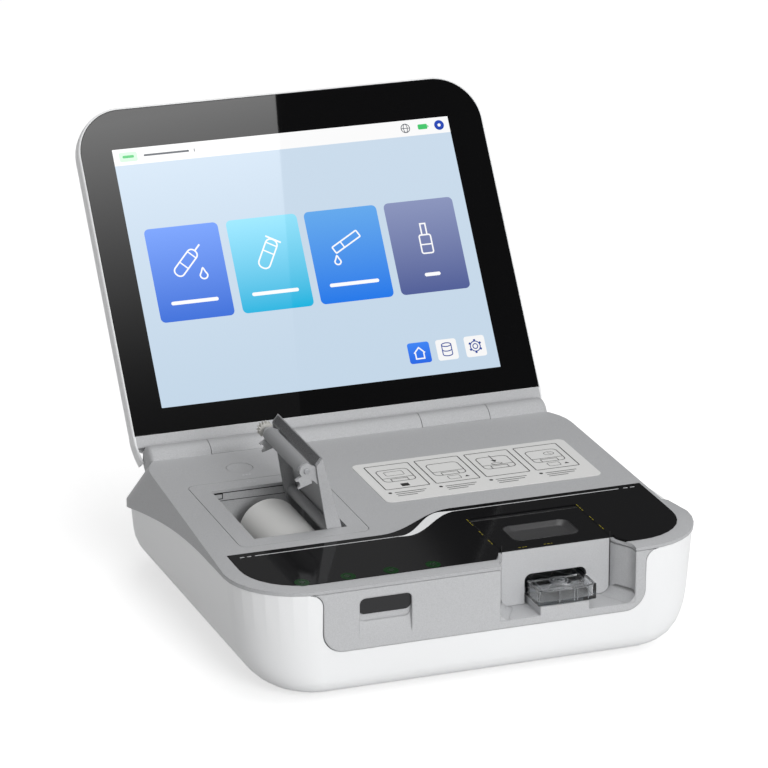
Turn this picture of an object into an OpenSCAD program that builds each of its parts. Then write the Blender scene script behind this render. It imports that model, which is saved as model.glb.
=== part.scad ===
// Portable blood gas analyzer: a rounded base with a folding touch screen, a thermal
// printer under a flip-up door, and a bay that takes a clear test cartridge.
// X runs to the right, Y to the back and Z up. Z = 0 is the bench under the feet.
// The source is drawn with Y = 0 on the hinge axis of the lid, and moved at the end.

/* [Body] */
// Width of the base
body_w = 273; // [262:1:300]
// Front face of the base, measured forward from the lid's hinge axis
body_front = 219.5; // [216:0.5:240]
// Back face of the base, measured back from the lid's hinge axis
body_rear = 32.5; // [30:0.5:45]
// Plan radius of the corners of the base
corner_r = 41; // [34:1:44]
// Height of the deck over the bench, at the hinge axis
deck_h = 70.3; // [70:0.1:76]
// Rise of the deck towards the back, in degrees
deck_slope = 1.1; // [0.8:0.1:1.6]
// Height of the seam between the two shells at the front
seam_h = 63.3; // [62.6:0.1:63.8]
// Radius of the arc in which the seam drops towards the back
seam_r = 658; // [620:1:760]
// Wall of the plastic shells
wall = 2.4; // [2:0.1:2.8]
// Radius of the bottom edge at the sides
side_edge_r = 28; // [20:1:30]
// Radius of the bottom edge at the front
front_edge_r = 10; // [8:1:16]
// Half width of the deck's crease
crease_half = 129.4; // [128:0.1:130.5]

/* [Lid] */
// Width of the lid
lid_w = 254.4; // [250:0.2:258]
// Height of the lid's top edge over the hinge axis, along the screen
lid_top = 216; // [212:0.5:224]
// Plan radius of the lid's top corners
lid_corner_r = 29; // [22:1:34]
// Lean of the open screen from upright, in degrees
lid_lean = 34.2; // [28:0.1:38]
// Depth of the bezel
bezel_d = 5; // [4.6:0.1:6]
// Depth of the rear cover
cover_d = 10; // [9:0.5:13]
// Thickness of the cover glass
glass_t = 1.8; // [1.1:0.1:2.2]
// Width of the picture area
screen_w = 211.2; // [205:0.1:213]
// Height of the picture area
screen_h = 158.4; // [154:0.1:160]

/* [Hinge] */
// Radius of the hinge barrel
barrel_r = 9.2; // [9:0.1:9.4]
// Radius of the hinge shaft
shaft_r = 3; // [2.6:0.1:3.4]
// Distance of the glass face behind the hinge axis
glass_back = 4; // [3.9:0.1:4.4]
// Inner end of each lid knuckle
knuckle_x0 = 43.7; // [40:0.1:48]
// Outer end of each lid knuckle
knuckle_x1 = 86.2; // [82:0.1:90]

/* [Printer] */
// Radius of the paper roll
roll_r = 18; // [15:0.1:18.2]
// Width of the paper
paper_w = 57; // [50:0.5:57]
// Angle at which the paper door stands open
door_open = 75; // [70:1:80]
// Radius of the platen roller
platen_r = 4.3; // [4:0.1:4.4]
// Width of the opening under the paper door
mouth_w = 54; // [53.6:0.1:54.4]
// Length of the opening under the paper door
mouth_l = 75.2; // [75:0.1:76]

/* [Bay] */
// Place of the bay's centre across the base
bay_x = 47.8; // [46:0.1:49]
// Width of the module cover
module_w = 63.8; // [62:0.1:65]
// Height of the bay's floor
bay_floor = 33.5; // [33:0.1:34]
// Width of the test cartridge
cart_w = 34.2; // [32:0.1:34.6]
// Height of the test cartridge
cart_h = 8.8; // [7.6:0.1:9]
// Length of the test cartridge
cart_l = 52; // [46:0.5:56]

/* [Fits] */
// Gap around covers and doors
gap = 0.3; // [0.2:0.05:0.35]
// Radial running clearance of shafts
run = 0.05; // [0.03:0.01:0.08]
// Height of the rubber feet
foot_h = 3; // [2.6:0.1:4]
// Radius of the rubber feet
foot_r = 8; // [6:0.5:10]

/* [Hidden] */
$fn = 48;
eps = 0.02;

// Places that follow from the driving sizes
half = body_w / 2;
front_y = -body_front;
shell_z = foot_h;
floor_z = shell_z + wall;
edge_round = 8;
lid_back = glass_back + bezel_d + cover_d;
rear_most = (lid_top - edge_round) * sin(lid_lean) + (lid_back - edge_round) * cos(lid_lean) + edge_round;
shift_y = (body_front - rear_most) / 2;
hinge_z = deck_h - 3.6;
slope_t = tan(deck_slope);
function deck_z(y) = deck_h + y * slope_t;

// Seam between the shells: level at the front, then an arc of radius seam_r
seam_start = -body_front + 50;
band_h = 4.5;
function seam_z(y) = y < seam_start ? seam_h
    : seam_h - seam_r + sqrt(pow(seam_r, 2) - pow(y - seam_start, 2));
function band_z(y) = min(seam_z(y) + band_h, deck_z(y) - 0.8);

// Draft and bottom rounding of the lower shell
side_draft = 7;
front_draft = 2;
rear_edge_r = 12;
function inset(z, r, a) = let (u = (shell_z + r - z) / r, c = (seam_h - shell_z - r) * tan(a) + r / cos(a))
    u > sin(a) ? c - r * sqrt(max(0, 1 - u * u)) : max(0, (seam_h - z) * tan(a));

// Deck features, in the plane of the deck with y = 0 at the hinge axis
crease_front = front_y + 5.5;
crease_rear = 4.5;
fascia_half = 127.3;
fascia_front = front_y + 8.5;
fascia_left_back = front_y + 62;
fascia_right_back = front_y + 86.5;
fascia_t = 1.2;
fascia_proud = 0.2;
module_front = front_y + 18.6;
module_rear = front_y + 68.3;
cover_barrel_r = 2.8;
cover_axis = [module_rear - cover_barrel_r, fascia_proud - cover_barrel_r];
bay_mouth = 39.8;
frame_x0 = -116;
frame_x1 = -40.6;
mouth_x1 = -51.2;
mouth_x0 = mouth_x1 - mouth_w;
mouth_y0 = -138.9;
mouth_y1 = mouth_y0 + mouth_l;
frame_y0 = mouth_y0 - 9.8;
frame_y1 = mouth_y1 + 11;
frame_t = 2;
door_pin_x = mouth_x1 - 6.5;
door_pin_z = -4.6;
door_pin_r = 1.5;
platen_x = door_pin_x - 42.4;
platen_z = -10.3;
platen_shaft_r = 1.5;
roll_x = -75.3;
roll_z = -3.5 - 18;
roll_y0 = mouth_y0 + 4.7;
bucket_z = roll_z - roll_r - 0.4;
bucket_t = 1.6;
tub_x0 = mouth_x0 - 6.3;
tub_x1 = mouth_x1 + 1.2;
gear_y0 = mouth_y1 - 4.9;
gear_t = 3;
gear_m = 0.6;
platen_teeth = 14;
idler_teeth = 22;
pinion_teeth = 10;
idler_x = platen_x + 2.5;
idler_z = platen_z - sqrt(pow(gear_m * (platen_teeth + idler_teeth) / 2 + 1.2, 2) - pow(2.5, 2));
pinion_drop = gear_m * (idler_teeth + pinion_teeth) / 2 + 0.05;
button_x = -78.4;
button_y = -34.6;
button_r = 7.6;
light_x = [-101.5, -75.5, -50.3, -26.2];
light_y = fascia_front + 5;

// Lid sizes, measured up the screen from the hinge axis
lid_bottom = barrel_r + 0.6;
glass_bottom = lid_bottom + 7;
screen_bottom = glass_bottom + 15;
screen_shift = -1;

// Cartridge bay
cart_z = bay_floor + 4.9;
cart_y0 = front_y + 0.4;
notch_w = cart_w + 2.4;
notch_top = cart_z + cart_h + 3.7;
cart_x0 = bay_x - cart_w / 2;
cart_x1 = bay_x + cart_w / 2;

// Hardware along the floor
boss_x = 100;
boss_y = [front_y + 56, -22];
foot_x = 92;
foot_y = [front_y + 34, 2];
board_z = 12;
board_t = 1.6;
fan_at = [84, -95];
fan_size = 40;
pump_at = [100, -137];
battery = [-28, -26, 28, 4];
speaker_at = [-55, -168];

// Helpers
module span(a, b) { translate(a) cube(b - a); }
module rod_x(x0, x1, y, z, r) { translate([x0, y, z]) rotate([0, 90, 0]) cylinder(r = r, h = x1 - x0); }
module rod_y(y0, y1, x, z, r) { translate([x, y0, z]) rotate([-90, 0, 0]) cylinder(r = r, h = y1 - y0); }
module rod_z(z0, z1, x, y, r) { translate([x, y, z0]) cylinder(r = r, h = z1 - z0); }
// Rectangle from corner a to corner b with rounded corners
module soft_rect(a, b, r) {
    translate([a[0] + r, a[1]]) square([b[0] - a[0] - 2 * r, b[1] - a[1]]);
    translate([a[0], a[1] + r]) square([b[0] - a[0], b[1] - a[1] - 2 * r]);
    for (x = [a[0] + r, b[0] - r], y = [a[1] + r, b[1] - r]) translate([x, y]) circle(r);
}
module soft_box(a, b, r) { translate([0, 0, a[2]]) linear_extrude(b[2] - a[2]) soft_rect(a, b, r); }
// Frames: the deck's plane, the lid's own axes at rest, a profile in YZ or in XZ
module on_deck() { translate([0, 0, deck_h]) rotate([deck_slope, 0, 0]) children(); }
module in_lid() { translate([0, 0, hinge_z]) rotate([-lid_lean, 0, 0]) children(); }
module along_x(x0, x1) { translate([x0, 0, 0]) rotate([90, 0, 90]) linear_extrude(x1 - x0) children(); }
module along_y(y0, y1) { translate([0, y1, 0]) rotate([90, 0, 0]) linear_extrude(y1 - y0) children(); }
module door_turn(angle) {
    on_deck() translate([door_pin_x, 0, door_pin_z]) rotate([0, angle, 0])
        translate([-door_pin_x, 0, -door_pin_z]) children();
}
module at_bench() { translate([0, shift_y, 0]) children(); }

// Rounded rectangle as a ring of points, eight steps to a corner
steps = 8;
function corner(cx, cy, r, from) = [for (k = [0:steps]) let (a = from + 90 * k / steps)
    [cx + r * cos(a), cy + r * sin(a)]];
function ring(hx, y0, y1, r) = concat(corner(hx - r, y1 - r, r, 0), corner(r - hx, y1 - r, r, 90),
    corner(r - hx, y0 + r, r, 180), corner(hx - r, y0 + r, r, 270));
// Closed solid through rings of equal length, lowest first
module loft(rings) {
    n = len(rings[0]);
    m = len(rings);
    polyhedron(points = [for (g = rings) each g], faces = concat(
        [[for (i = [0:n - 1]) i]], [[for (i = [n - 1:-1:0]) (m - 1) * n + i]],
        [for (k = [0:m - 2], i = [0:n - 1]) [k * n + i, (k + 1) * n + i, k * n + (i + 1) % n]],
        [for (k = [0:m - 2], i = [0:n - 1])
            [(k + 1) * n + i, (k + 1) * n + (i + 1) % n, k * n + (i + 1) % n]]));
}
// Outline of the base at height z, drawn in by t
function base_ring(z, t, up = 0) = let (s = inset(z, side_edge_r, side_draft),
    f = inset(z, front_edge_r, front_draft), b = inset(z, rear_edge_r, front_draft))
    [for (p = ring(half - s - t, front_y + f + t, body_rear - b - t,
        max(6, corner_r - 0.8 * s - t))) [p[0], p[1], z + up]];
function base_levels() = [for (k = [0:7]) shell_z + side_edge_r * (1 - cos(k * 11.9))];
module base_solid(t) {
    loft(concat([for (z = base_levels()) base_ring(z, t, z == shell_z ? t : 0)],
        [base_ring(seam_h + 8, t)]));
}
// Everything under the seam, raised by g
module below_seam(g = 0) {
    along_x(-half - 5, half + 5) {
        translate([seam_start, seam_h - seam_r]) circle(seam_r + g, $fn = 200);
        translate([front_y - 20, -20]) square([seam_start - front_y + 20, seam_h + 20 + g]);
    }
}
// Plan of the cartridge bay, grown by g
module bay_plan(g = 0) {
    depth = module_front - front_y;
    edge = [for (k = [0:8]) let (u = k / 8, s = u * u * (3 - 2 * u))
        [bay_mouth + (module_w / 2 + gap - bay_mouth) * s + g, front_y + 2 + (depth - 2) * u]];
    mouth = [bay_mouth + g, front_y - 10];
    back = [module_w / 2 + gap + g, module_front + 1];
    side = concat([mouth], edge, [back]);
    translate([bay_x, 0]) polygon(concat(side, [for (k = [len(side) - 1:-1:0]) [-side[k][0], side[k][1]]]));
}
// Outline of the black fascia, with the step of its back edge as a smooth S
module fascia_plan(g = 0) {
    r = 33;
    s_curve = [for (k = [0:12]) let (u = k / 12, s = u * u * (3 - 2 * u))
        [12 - 50 * u, fascia_right_back + g + (fascia_left_back - fascia_right_back) * s]];
    h = fascia_half + g;
    front = fascia_front - g;
    polygon(concat([[h, fascia_right_back + g]], s_curve, [[-h, fascia_left_back + g]],
        corner(r - h, front + r, r, 180), corner(h - r, front + r, r, 270)));
}
module gear(teeth, y0, h, phase = 0) {
    pitch = gear_m * teeth / 2;
    root = pitch - 0.75;
    tip = pitch + 0.42;
    // Half width of a tooth, as an angle, at each of the three radii
    profile = [[root, 0.62], [pitch, 0.36], [tip, 0.18]];
    flank = [for (f = profile) [f[0], f[1] / f[0] * 180 / PI]];
    translate([0, y0, 0]) rotate([-90, 0, 0]) linear_extrude(h) polygon([for (k = [0:teeth - 1])
        each concat([for (f = flank) polar(f[0], phase + k * 360 / teeth - f[1])],
            [for (i = [2:-1:0]) polar(flank[i][0], phase + k * 360 / teeth + flank[i][1])])]);
}
function polar(r, a) = [r * cos(a), r * sin(a)];
module screw(r, h, head_r, head_h) {
    cylinder(r = r, h = h);
    translate([0, 0, -head_h]) difference() {
        cylinder(r = head_r, h = head_h);
        translate([0, 0, -eps]) cylinder(r = head_r * 0.5, h = head_h * 0.6, $fn = 6);
    }
}
module seats(xs, ys) { for (x = xs, y = ys) translate([x, y, 0]) children(); }
module mirrored() { children(); mirror([1, 0, 0]) children(); }

// Shells
module bottom_shell() color("white") {
    difference() {
        intersection() { base_solid(0); below_seam(); }
        base_solid(wall);
        along_y(front_y - 5, front_y + wall + 12) offset_panel(gap);
        seats([-foot_x, foot_x], foot_y) rod_z(0, shell_z + 1, 0, 0, foot_r + gap);
        seats([-boss_x, boss_x], boss_y) rod_z(0, 20, 0, 0, 1.9);
        seats([-boss_x, boss_x], boss_y) rod_z(0, shell_z + 2.4, 0, 0, 4.2);
        span([battery[0] - 4, battery[1] - 4, 0], [battery[2] + 4, battery[3] + 4, floor_z + 1]);
        for (k = [-3:3]) span([fan_at[0] - 16, fan_at[1] + k * 5 - 1.2, 0],
            [fan_at[0] + 16, fan_at[1] + k * 5 + 1.2, floor_z + 1]);
        for (k = [-2:2]) translate([speaker_at[0], speaker_at[1] + k * 4, 0]) span([-9, -1, 0], [9, 1, floor_z + 1]);
        rear_cuts();
    }
    seats([-boss_x, boss_x], boss_y) difference() {
        rod_z(floor_z + 3.2, 30, 0, 0, 5);
        rod_z(0, 31, 0, 0, 1.9);
    }
    seats([-boss_x, boss_x], boss_y) difference() {
        rod_z(shell_z + 2.4, floor_z + 3.3, 0, 0, 7);
        rod_z(0, 31, 0, 0, 1.9);
    }
    for (x = [-96, 44], y = [-144, -42]) rod_z(floor_z - eps, board_z, x, y, 3);
    // Bridges over the front edge of the battery door, for its screws
    for (x = door_screw_x) difference() {
        span([x - 4, battery[1] - 9, floor_z - eps], [x + 4, battery[1] - 0.5, floor_z + 5]);
        span([x - 5, battery[1] - 4, 0], [x + 5, battery[1], floor_z + 0.1]);
        rod_z(0, floor_z + 6, x, battery[1] - door_screw_in, 1.1);
    }
}
door_screw_x = [battery[0] + 8, battery[2] - 8];
door_screw_in = 1.9;
// Face of the front panel: rounded at the bottom, flared into the rim at the top
panel_half = 93.8;
panel_low = bay_floor - 4.7;
flare_r = 7;
module panel_face(g = 0) {
    w = panel_half + g;
    translate([0, -g]) soft_rect([-w, panel_low], [w, seam_h + 10], 12);
    difference() {
        translate([-w - flare_r, seam_h - flare_r - g]) square([2 * (w + flare_r), flare_r + 10]);
        mirrored() translate([w + flare_r, seam_h - flare_r - g]) circle(flare_r);
    }
}
module offset_panel(g) { intersection() { panel_face(g); translate([-half, 0]) square([body_w, seam_h + 1]); } }
port_z0 = 13;
port_z1 = 27;
module rear_cuts() {
    y0 = body_rear - 12;
    y1 = body_rear + 2;
    rod_y(y0, y1, 84, 20, 5.2);
    span([54, y0, port_z0], [74, y1, port_z1]);
    for (x = [-8, 10]) span([x, y0, 16], [x + 14, y1, 23]);
    span([-34, y0, port_z0], [-17, y1, port_z1]);
    for (k = [0:7]) span([-92 + k * 6, y0, 14], [-89.5 + k * 6, y1, 27]);
}

// Outer form of the housing: a near upright rim, then a slope up to the crease of the deck
module housing_block() {
    outline = base_ring(seam_h, 0);
    crease = ring(crease_half, crease_front, crease_rear, 34);
    loft([[for (p = outline) [p[0], p[1], 15]], [for (p = outline) [p[0], p[1], band_z(p[1])]],
        [for (p = crease) [p[0], p[1], deck_z(p[1])]]]);
}
module top_housing() color([0.66, 0.67, 0.68]) {
    outline_in = base_ring(seam_h, wall);
    crease_in = ring(crease_half - wall, crease_front + wall, crease_rear - wall, 32);
    difference() {
        union() {
            difference() {
                housing_block();
                loft([[for (p = outline_in) [p[0], p[1], 10]],
                    [for (p = outline_in) [p[0], p[1], band_z(p[1]) - wall * 0.7]],
                    [for (p = crease_in) [p[0], p[1], deck_z(p[1]) - wall]]]);
                below_seam(0.2);
                barrel_hollow();
            }
            on_deck() translate([0, 0, -frame_t - 2]) linear_extrude(2.1)
                soft_rect([frame_x0 - 3, frame_y0 - 3], [frame_x1 + 3, frame_y1 + 3], 7);
            mirrored() barrel_segment(knuckle_x1 + gap, 121);
            barrel_segment(-knuckle_x0 + gap, knuckle_x0 - gap);
            intersection() {
                mirrored() trough();
                housing_block();
            }
        }
        on_deck() {
            translate([0, 0, -frame_t]) linear_extrude(40) soft_rect([frame_x0 - gap, frame_y0 - gap],
                [frame_x1 + gap, frame_y1 + gap], 5 + gap);
            span([tub_x0 - bucket_t - gap, mouth_y0 - bucket_t - gap, -20],
                [tub_x1 + bucket_t + gap, mouth_y1 + bucket_t + gap, 20]);
            translate([0, 0, -fascia_t]) linear_extrude(10) fascia_plan(gap / 2);
            span([bay_x - module_w / 2 - gap, front_y - 5, -40],
                [bay_x + module_w / 2 + gap, module_rear + gap, 20]);
            translate([0, 0, -40]) linear_extrude(60) bay_plan();
            translate([button_x, button_y, -20]) cylinder(r = button_r + 0.2, h = 40);
            for (x = light_x) translate([x, light_y, -20]) cylinder(r = 1.8 + 0.1, h = 40);
        }
        mirrored() rod_x(knuckle_x0 - gap, knuckle_x1 + gap, 0, hinge_z, barrel_r + 0.6);
    }
    intersection() {
        seats([-boss_x, boss_x], boss_y) difference() {
            rod_z(30.2, 80, 0, 0, 4.5);
            rod_z(20, 45, 0, 0, 1.5);
        }
        under_deck();
    }
}
// All that lies under the deck's skin, to trim bosses and posts
module under_deck() { along_x(-boss_x - 20, boss_x + 20) polygon([[front_y, 0], [20, 0],
    [crease_rear - 1, deck_z(crease_rear) - wall + eps], [front_y, deck_z(front_y) - wall + eps]]); }
module barrel_segment(x0, x1) {
    difference() {
        rod_x(x0, x1, 0, hinge_z, barrel_r);
        rod_x(x0 + 1.6, x1 - 1.6, 0, hinge_z, barrel_r - wall);
        span([x0 + 1.6, -(barrel_r - wall), hinge_z - 30], [x1 - 1.6, barrel_r - wall, hinge_z]);
        rod_x(x0 - 1, x1 + 1, 0, hinge_z, shaft_r + 0.3);
    }
}
module barrel_hollow() {
    span([-119.4, -(barrel_r - wall), hinge_z - 12], [119.4, barrel_r - wall, hinge_z]);
    rod_x(-119.4, 119.4, 0, hinge_z, barrel_r - wall);
    mirrored() rod_x(knuckle_x0 - gap, knuckle_x1 + gap, 0, hinge_z, barrel_r + 0.6);
}
// Curved wall that closes the housing under each lid knuckle
module trough() {
    difference() {
        rod_x(knuckle_x0 - gap, knuckle_x1 + gap, 0, hinge_z, barrel_r + 2.2);
        rod_x(knuckle_x0 - 1, knuckle_x1 + 1, 0, hinge_z, barrel_r + 0.6);
    }
}

module front_panel() color([0.74, 0.75, 0.76]) {
    face_y = front_y + 0.1;
    difference() {
        union() {
            along_y(face_y, face_y + wall) intersection() {
                panel_face();
                translate([-half, 0]) square([body_w, seam_h - 0.1]);
            }
            translate([0, 0, bay_floor - 2]) linear_extrude(seam_h - 0.1 - bay_floor + 2) intersection() {
                bay_plan(2);
                translate([-half, face_y]) square([body_w, module_front - face_y + 1]);
            }
            translate([0, 0, bay_floor - 2]) linear_extrude(2) translate([bay_x - module_w / 2 - 2, face_y])
                square([module_w + 4, 62]);
            span([scan_x0 - 2, face_y, scan_low - 2], [scan_x1 + 2, face_y + 7, scan_high + 2]);
        }
        translate([0, 0, bay_floor]) linear_extrude(60) bay_plan();
        along_y(front_y - 1, face_y + scan_depth) soft_rect([scan_x0, scan_split], [scan_x1, scan_high], 3.4);
        scan_ledge();
    }
    span([bay_x - 16.4, face_y, bay_floor - eps], [bay_x + 12.5, front_y + 40, cart_z - 0.1]);
}
scan_x0 = -73.4;
scan_x1 = -43.4;
scan_low = 35;
scan_split = 44;
scan_high = 57.8;
scan_depth = 3;
// Bevelled ledge that leads down out of the scan pocket
module scan_ledge() {
    translate([scan_x0, 0, 0]) rotate([90, 0, 90]) linear_extrude(scan_x1 - scan_x0)
        polygon([[front_y - 1, scan_low], [front_y + 0.1, scan_low],
            [front_y + 0.1 + scan_depth, scan_split + 4], [front_y - 1, scan_split + 4]]);
}
module scan_window() color([0.05, 0.05, 0.06]) {
    along_y(front_y + 0.1 + scan_depth - 1.2, front_y + 0.1 + scan_depth)
        soft_rect([scan_x0 + 0.1, scan_split + 4.1], [scan_x1 - 0.1, scan_high - 0.1], 3.3);
}
module scan_engine() color([0.2, 0.22, 0.24]) {
    y0 = front_y + 7.3;
    difference() {
        span([scan_x0 + 3, y0, 40], [scan_x1 - 3, y0 + 22, 58]);
        rod_y(y0 - 1, y0 + 8, scan_x0 + 11, 51, 4);
        rod_y(y0 - 1, y0 + 8, scan_x1 - 10, 51, 3);
    }
    span([scan_x0 + 3, y0 + 2, floor_z], [scan_x0 + 7, y0 + 20, 40]);
    span([scan_x1 - 7, y0 + 2, floor_z], [scan_x1 - 3, y0 + 20, 40]);
}

// Fascia and module cover
module control_fascia() color([0.06, 0.06, 0.07]) {
    on_deck() translate([0, 0, -fascia_t]) linear_extrude(fascia_t + fascia_proud) difference() {
        fascia_plan();
        bay_plan(2.2);
        translate([bay_x - module_w / 2 - gap, front_y - 5])
            square([module_w + 2 * gap, module_rear + gap - front_y + 5]);
        for (x = light_x) translate([x, light_y]) circle(1.8 + 0.1);
    }
}
plate_low = -4.4;
dimple = [[bay_x - 20.6, module_front + 9.5], [bay_x + 19.6, module_front + 33]];
module module_cover() color([0.74, 0.75, 0.76]) {
    x0 = bay_x - module_w / 2;
    x1 = bay_x + module_w / 2;
    on_deck() difference() {
        union() {
            span([x0, module_front, plate_low], [x1, cover_axis[0], -0.8]);
            rod_x(x0, x1, cover_axis[0], cover_axis[1], cover_barrel_r);
        }
        for (s = [-1, 1]) translate([bay_x + s * 21, 0, 0]) {
            span([-1.9, cover_axis[0] - 2.4, -12], [1.9, cover_axis[0] + 4, -0.9]);
            rod_x(-8, 8, cover_axis[0], cover_axis[1], 1);
        }
        translate([0, 0, -3]) linear_extrude(10) soft_rect(dimple[0], dimple[1], 6);
    }
    difference() {
        along_y(module_front, module_front + wall) difference() {
            translate([x0 + 0.1, bay_floor + 0.2]) square([module_w - 0.2, deck_z(module_front) - bay_floor - 1.2]);
            translate([bay_x - notch_w / 2, bay_floor - 5]) square([notch_w, notch_top - bay_floor + 1]);
            translate([bay_x - notch_w / 2 + 4, bay_floor]) square([notch_w - 8, notch_top - bay_floor]);
            for (s = [-1, 1]) translate([bay_x + s * (notch_w / 2 - 4), notch_top - 4]) circle(4);
        }
    }
    for (x = [x0 + 0.2, x1 - 2.2]) translate([x, 0, 0]) rotate([90, 0, 90]) linear_extrude(2)
        polygon([[module_front + 1, 52], [module_front + 1, deck_z(module_front) - 2],
            [module_front + 26, deck_z(module_front) - 2], [module_front + 12, 56]]);
}
module cover_fascia() color([0.06, 0.06, 0.07]) {
    x0 = bay_x - module_w / 2;
    x1 = bay_x + module_w / 2;
    on_deck() {
        translate([0, 0, -0.8]) linear_extrude(0.8 + fascia_proud) difference() {
            translate([x0, module_front]) square([module_w, cover_axis[0] - 2.2 - module_front]);
            soft_rect(dimple[0], dimple[1], 6);
        }
        difference() {
            translate([0, 0, -3]) linear_extrude(3 + fascia_proud) soft_rect(dimple[0], dimple[1], 6);
            translate([0, 0, -2.2]) linear_extrude(10)
                soft_rect(dimple[0] + [0.8, 0.8], dimple[1] - [0.8, 0.8], 5.2);
        }
    }
}
module cover_hinge_bracket() color([0.55, 0.56, 0.58]) {
    on_deck() for (s = [-1, 1]) translate([bay_x + s * 21, 0, 0]) difference() {
        union() {
            rod_x(-1.5, 1.5, cover_axis[0], cover_axis[1], 1.6);
            span([-1.5, cover_axis[0] - 1.6, -9], [1.5, cover_axis[0] + 1.6, cover_axis[1]]);
            span([-6, cover_axis[0] - 1.6, -11], [6, cover_axis[0] + 16, -9]);
            span([-6, cover_axis[0] + 12, -9], [6, cover_axis[0] + 16, -wall]);
        }
        rod_x(-2, 2, cover_axis[0], cover_axis[1], 1 + run);
    }
}
module cover_hinge_pins() color("silver") {
    on_deck() for (s = [-1, 1]) rod_x(bay_x + s * 21 - 8, bay_x + s * 21 + 8, cover_axis[0], cover_axis[1], 1);
}
module status_lights() color([0.05, 0.2, 0.08]) {
    on_deck() for (x = light_x) rod_z(-6, fascia_proud + 0.1, x, light_y, 1.8);
}
module light_board() color([0.1, 0.35, 0.2]) {
    on_deck() {
        span([light_x[0] - 6, light_y - 2.4, -7.4], [light_x[3] + 6, light_y + 10, -6]);
        for (x = [light_x[0] + 12, light_x[2] + 12]) rod_z(-6, -wall, x, light_y + 6, 1.6);
    }
}

// Button and label
module printer_button() color([0.66, 0.67, 0.68]) {
    on_deck() difference() {
        union() {
            rod_z(-wall - 1, 0.1, button_x, button_y, button_r);
            rod_z(-wall - 3.5, -wall - 1, button_x, button_y, button_r + 1.4);
        }
        translate([button_x, button_y, 40 + 0.1 - 0.9]) sphere(40, $fn = 96);
    }
}
// Switch under the button, on a small board that hangs from the deck by two posts
module button_switch() color([0.1, 0.35, 0.2]) on_deck() {
    span([button_x - 14, button_y - 5, -14.6], [button_x + 14, button_y + 5, -13]);
    for (x = [-11.6, 11.6]) rod_z(-13, -wall, button_x + x, button_y, 2);
    span([button_x - 3, button_y - 3, -13], [button_x + 3, button_y + 3, -9.4]);
    rod_z(-9.4, -wall - 3.5 - 1.7, button_x, button_y, 1.6);
}
module instruction_label() color([0.93, 0.93, 0.93]) {
    on_deck() soft_box([-18, -114.1, 0], [113, -53.5, 0.25], 4);
}

// Lid hinge
module hinge_brackets() color([0.6, 0.61, 0.63]) mirrored() {
    for (x = [knuckle_x0 - 7, knuckle_x1 + 4]) difference() {
        union() {
            span([x, -5.5, floor_z + 3], [x + 3, 5.5, hinge_z]);
            rod_x(x, x + 3, 0, hinge_z, 5.5);
            span([x - 4, -7, floor_z], [x + 7, 7, floor_z + 3]);
        }
        rod_x(x - 1, x + 4, 0, hinge_z, shaft_r + run);
    }
}
module hinge_shafts() color("silver") mirrored()
    rod_x(knuckle_x0 - 9, knuckle_x1 + 9, 0, hinge_z, shaft_r);
module hinge_bushes() color([0.75, 0.6, 0.3]) mirrored()
    for (x = [knuckle_x0 + 0.1, knuckle_x1 - 8.1]) difference() {
        rod_x(x, x + 8, 0, hinge_z, shaft_r + 1.4);
        rod_x(x - 1, x + 9, 0, hinge_z, shaft_r + run);
    }
module lid_knuckles() color([0.66, 0.67, 0.68]) in_lid() mirrored() {
    difference() {
        union() {
            rod_x(knuckle_x0, knuckle_x1, 0, 0, barrel_r);
            span([knuckle_x0, glass_back + 0.1, 6.4], [knuckle_x1, glass_back + bezel_d - 0.2, lid_bottom]);
            span([knuckle_x0 + 2, glass_back + glass_t + 0.4, 6.4],
                [knuckle_x1 - 2, glass_back + bezel_d - 0.2, glass_bottom + 4]);
        }
        rod_x(knuckle_x0 - 1, knuckle_x1 + 1, 0, 0, shaft_r + 0.3);
        for (x = [knuckle_x0 - 1, knuckle_x1 - 8.2]) rod_x(x, x + 9.2, 0, 0, shaft_r + 1.4);
    }
}

// Lid
// Face of the lid in x and height, drawn in by t
module lid_face(t = 0, low = lid_bottom) {
    w = lid_w / 2 - t;
    top = lid_top - t;
    r = lid_corner_r - t;
    translate([-w, low + t]) square([2 * w, top - r - low - t]);
    translate([r - w, low + t]) square([2 * (w - r), top - low - t]);
    for (s = [-1, 1]) translate([s * (w - r), top - r]) circle(r, $fn = 96);
}
lcd_half = screen_w / 2 + 7.4;
lcd_low = screen_bottom - 8;
lcd_high = screen_bottom + screen_h + 7;
screw_x = lid_w / 2 - 9.2;
screw_v = [40, 180];
module lid_bezel() color([0.66, 0.67, 0.68]) in_lid() difference() {
    along_y(glass_back, glass_back + bezel_d) lid_face();
    along_y(glass_back - 1, glass_back + glass_t + 0.1)
        translate([-lid_w, glass_bottom]) square([2 * lid_w, lid_top]);
    along_y(glass_back + glass_t, glass_back + bezel_d + 1)
        translate([-lcd_half - 0.3, lcd_low - 0.3]) square([2 * lcd_half + 0.6, lcd_high - lcd_low + 0.6]);
    mirrored() {
        span([knuckle_x0 + 1.7, glass_back + glass_t + 0.1, 0],
            [knuckle_x1 - 1.7, glass_back + bezel_d + 1, glass_bottom + 4.3]);
    }
    for (x = [-screw_x, screw_x], z = screw_v) rod_y(glass_back + 3, glass_back + bezel_d + 1, x, z, 1.2);
}
module cover_glass() color([0.03, 0.03, 0.04]) in_lid() along_y(glass_back, glass_back + glass_t)
    difference() {
        lid_face(0.1);
        translate([-lid_w, 0]) square([2 * lid_w, glass_bottom + 0.1]);
    }
module lcd_panel() color([0.8, 0.88, 0.95]) in_lid() {
    span([-lcd_half, glass_back + glass_t + 0.1, lcd_low],
        [lcd_half, glass_back + glass_t + 5.4, lcd_high]);
}
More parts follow.
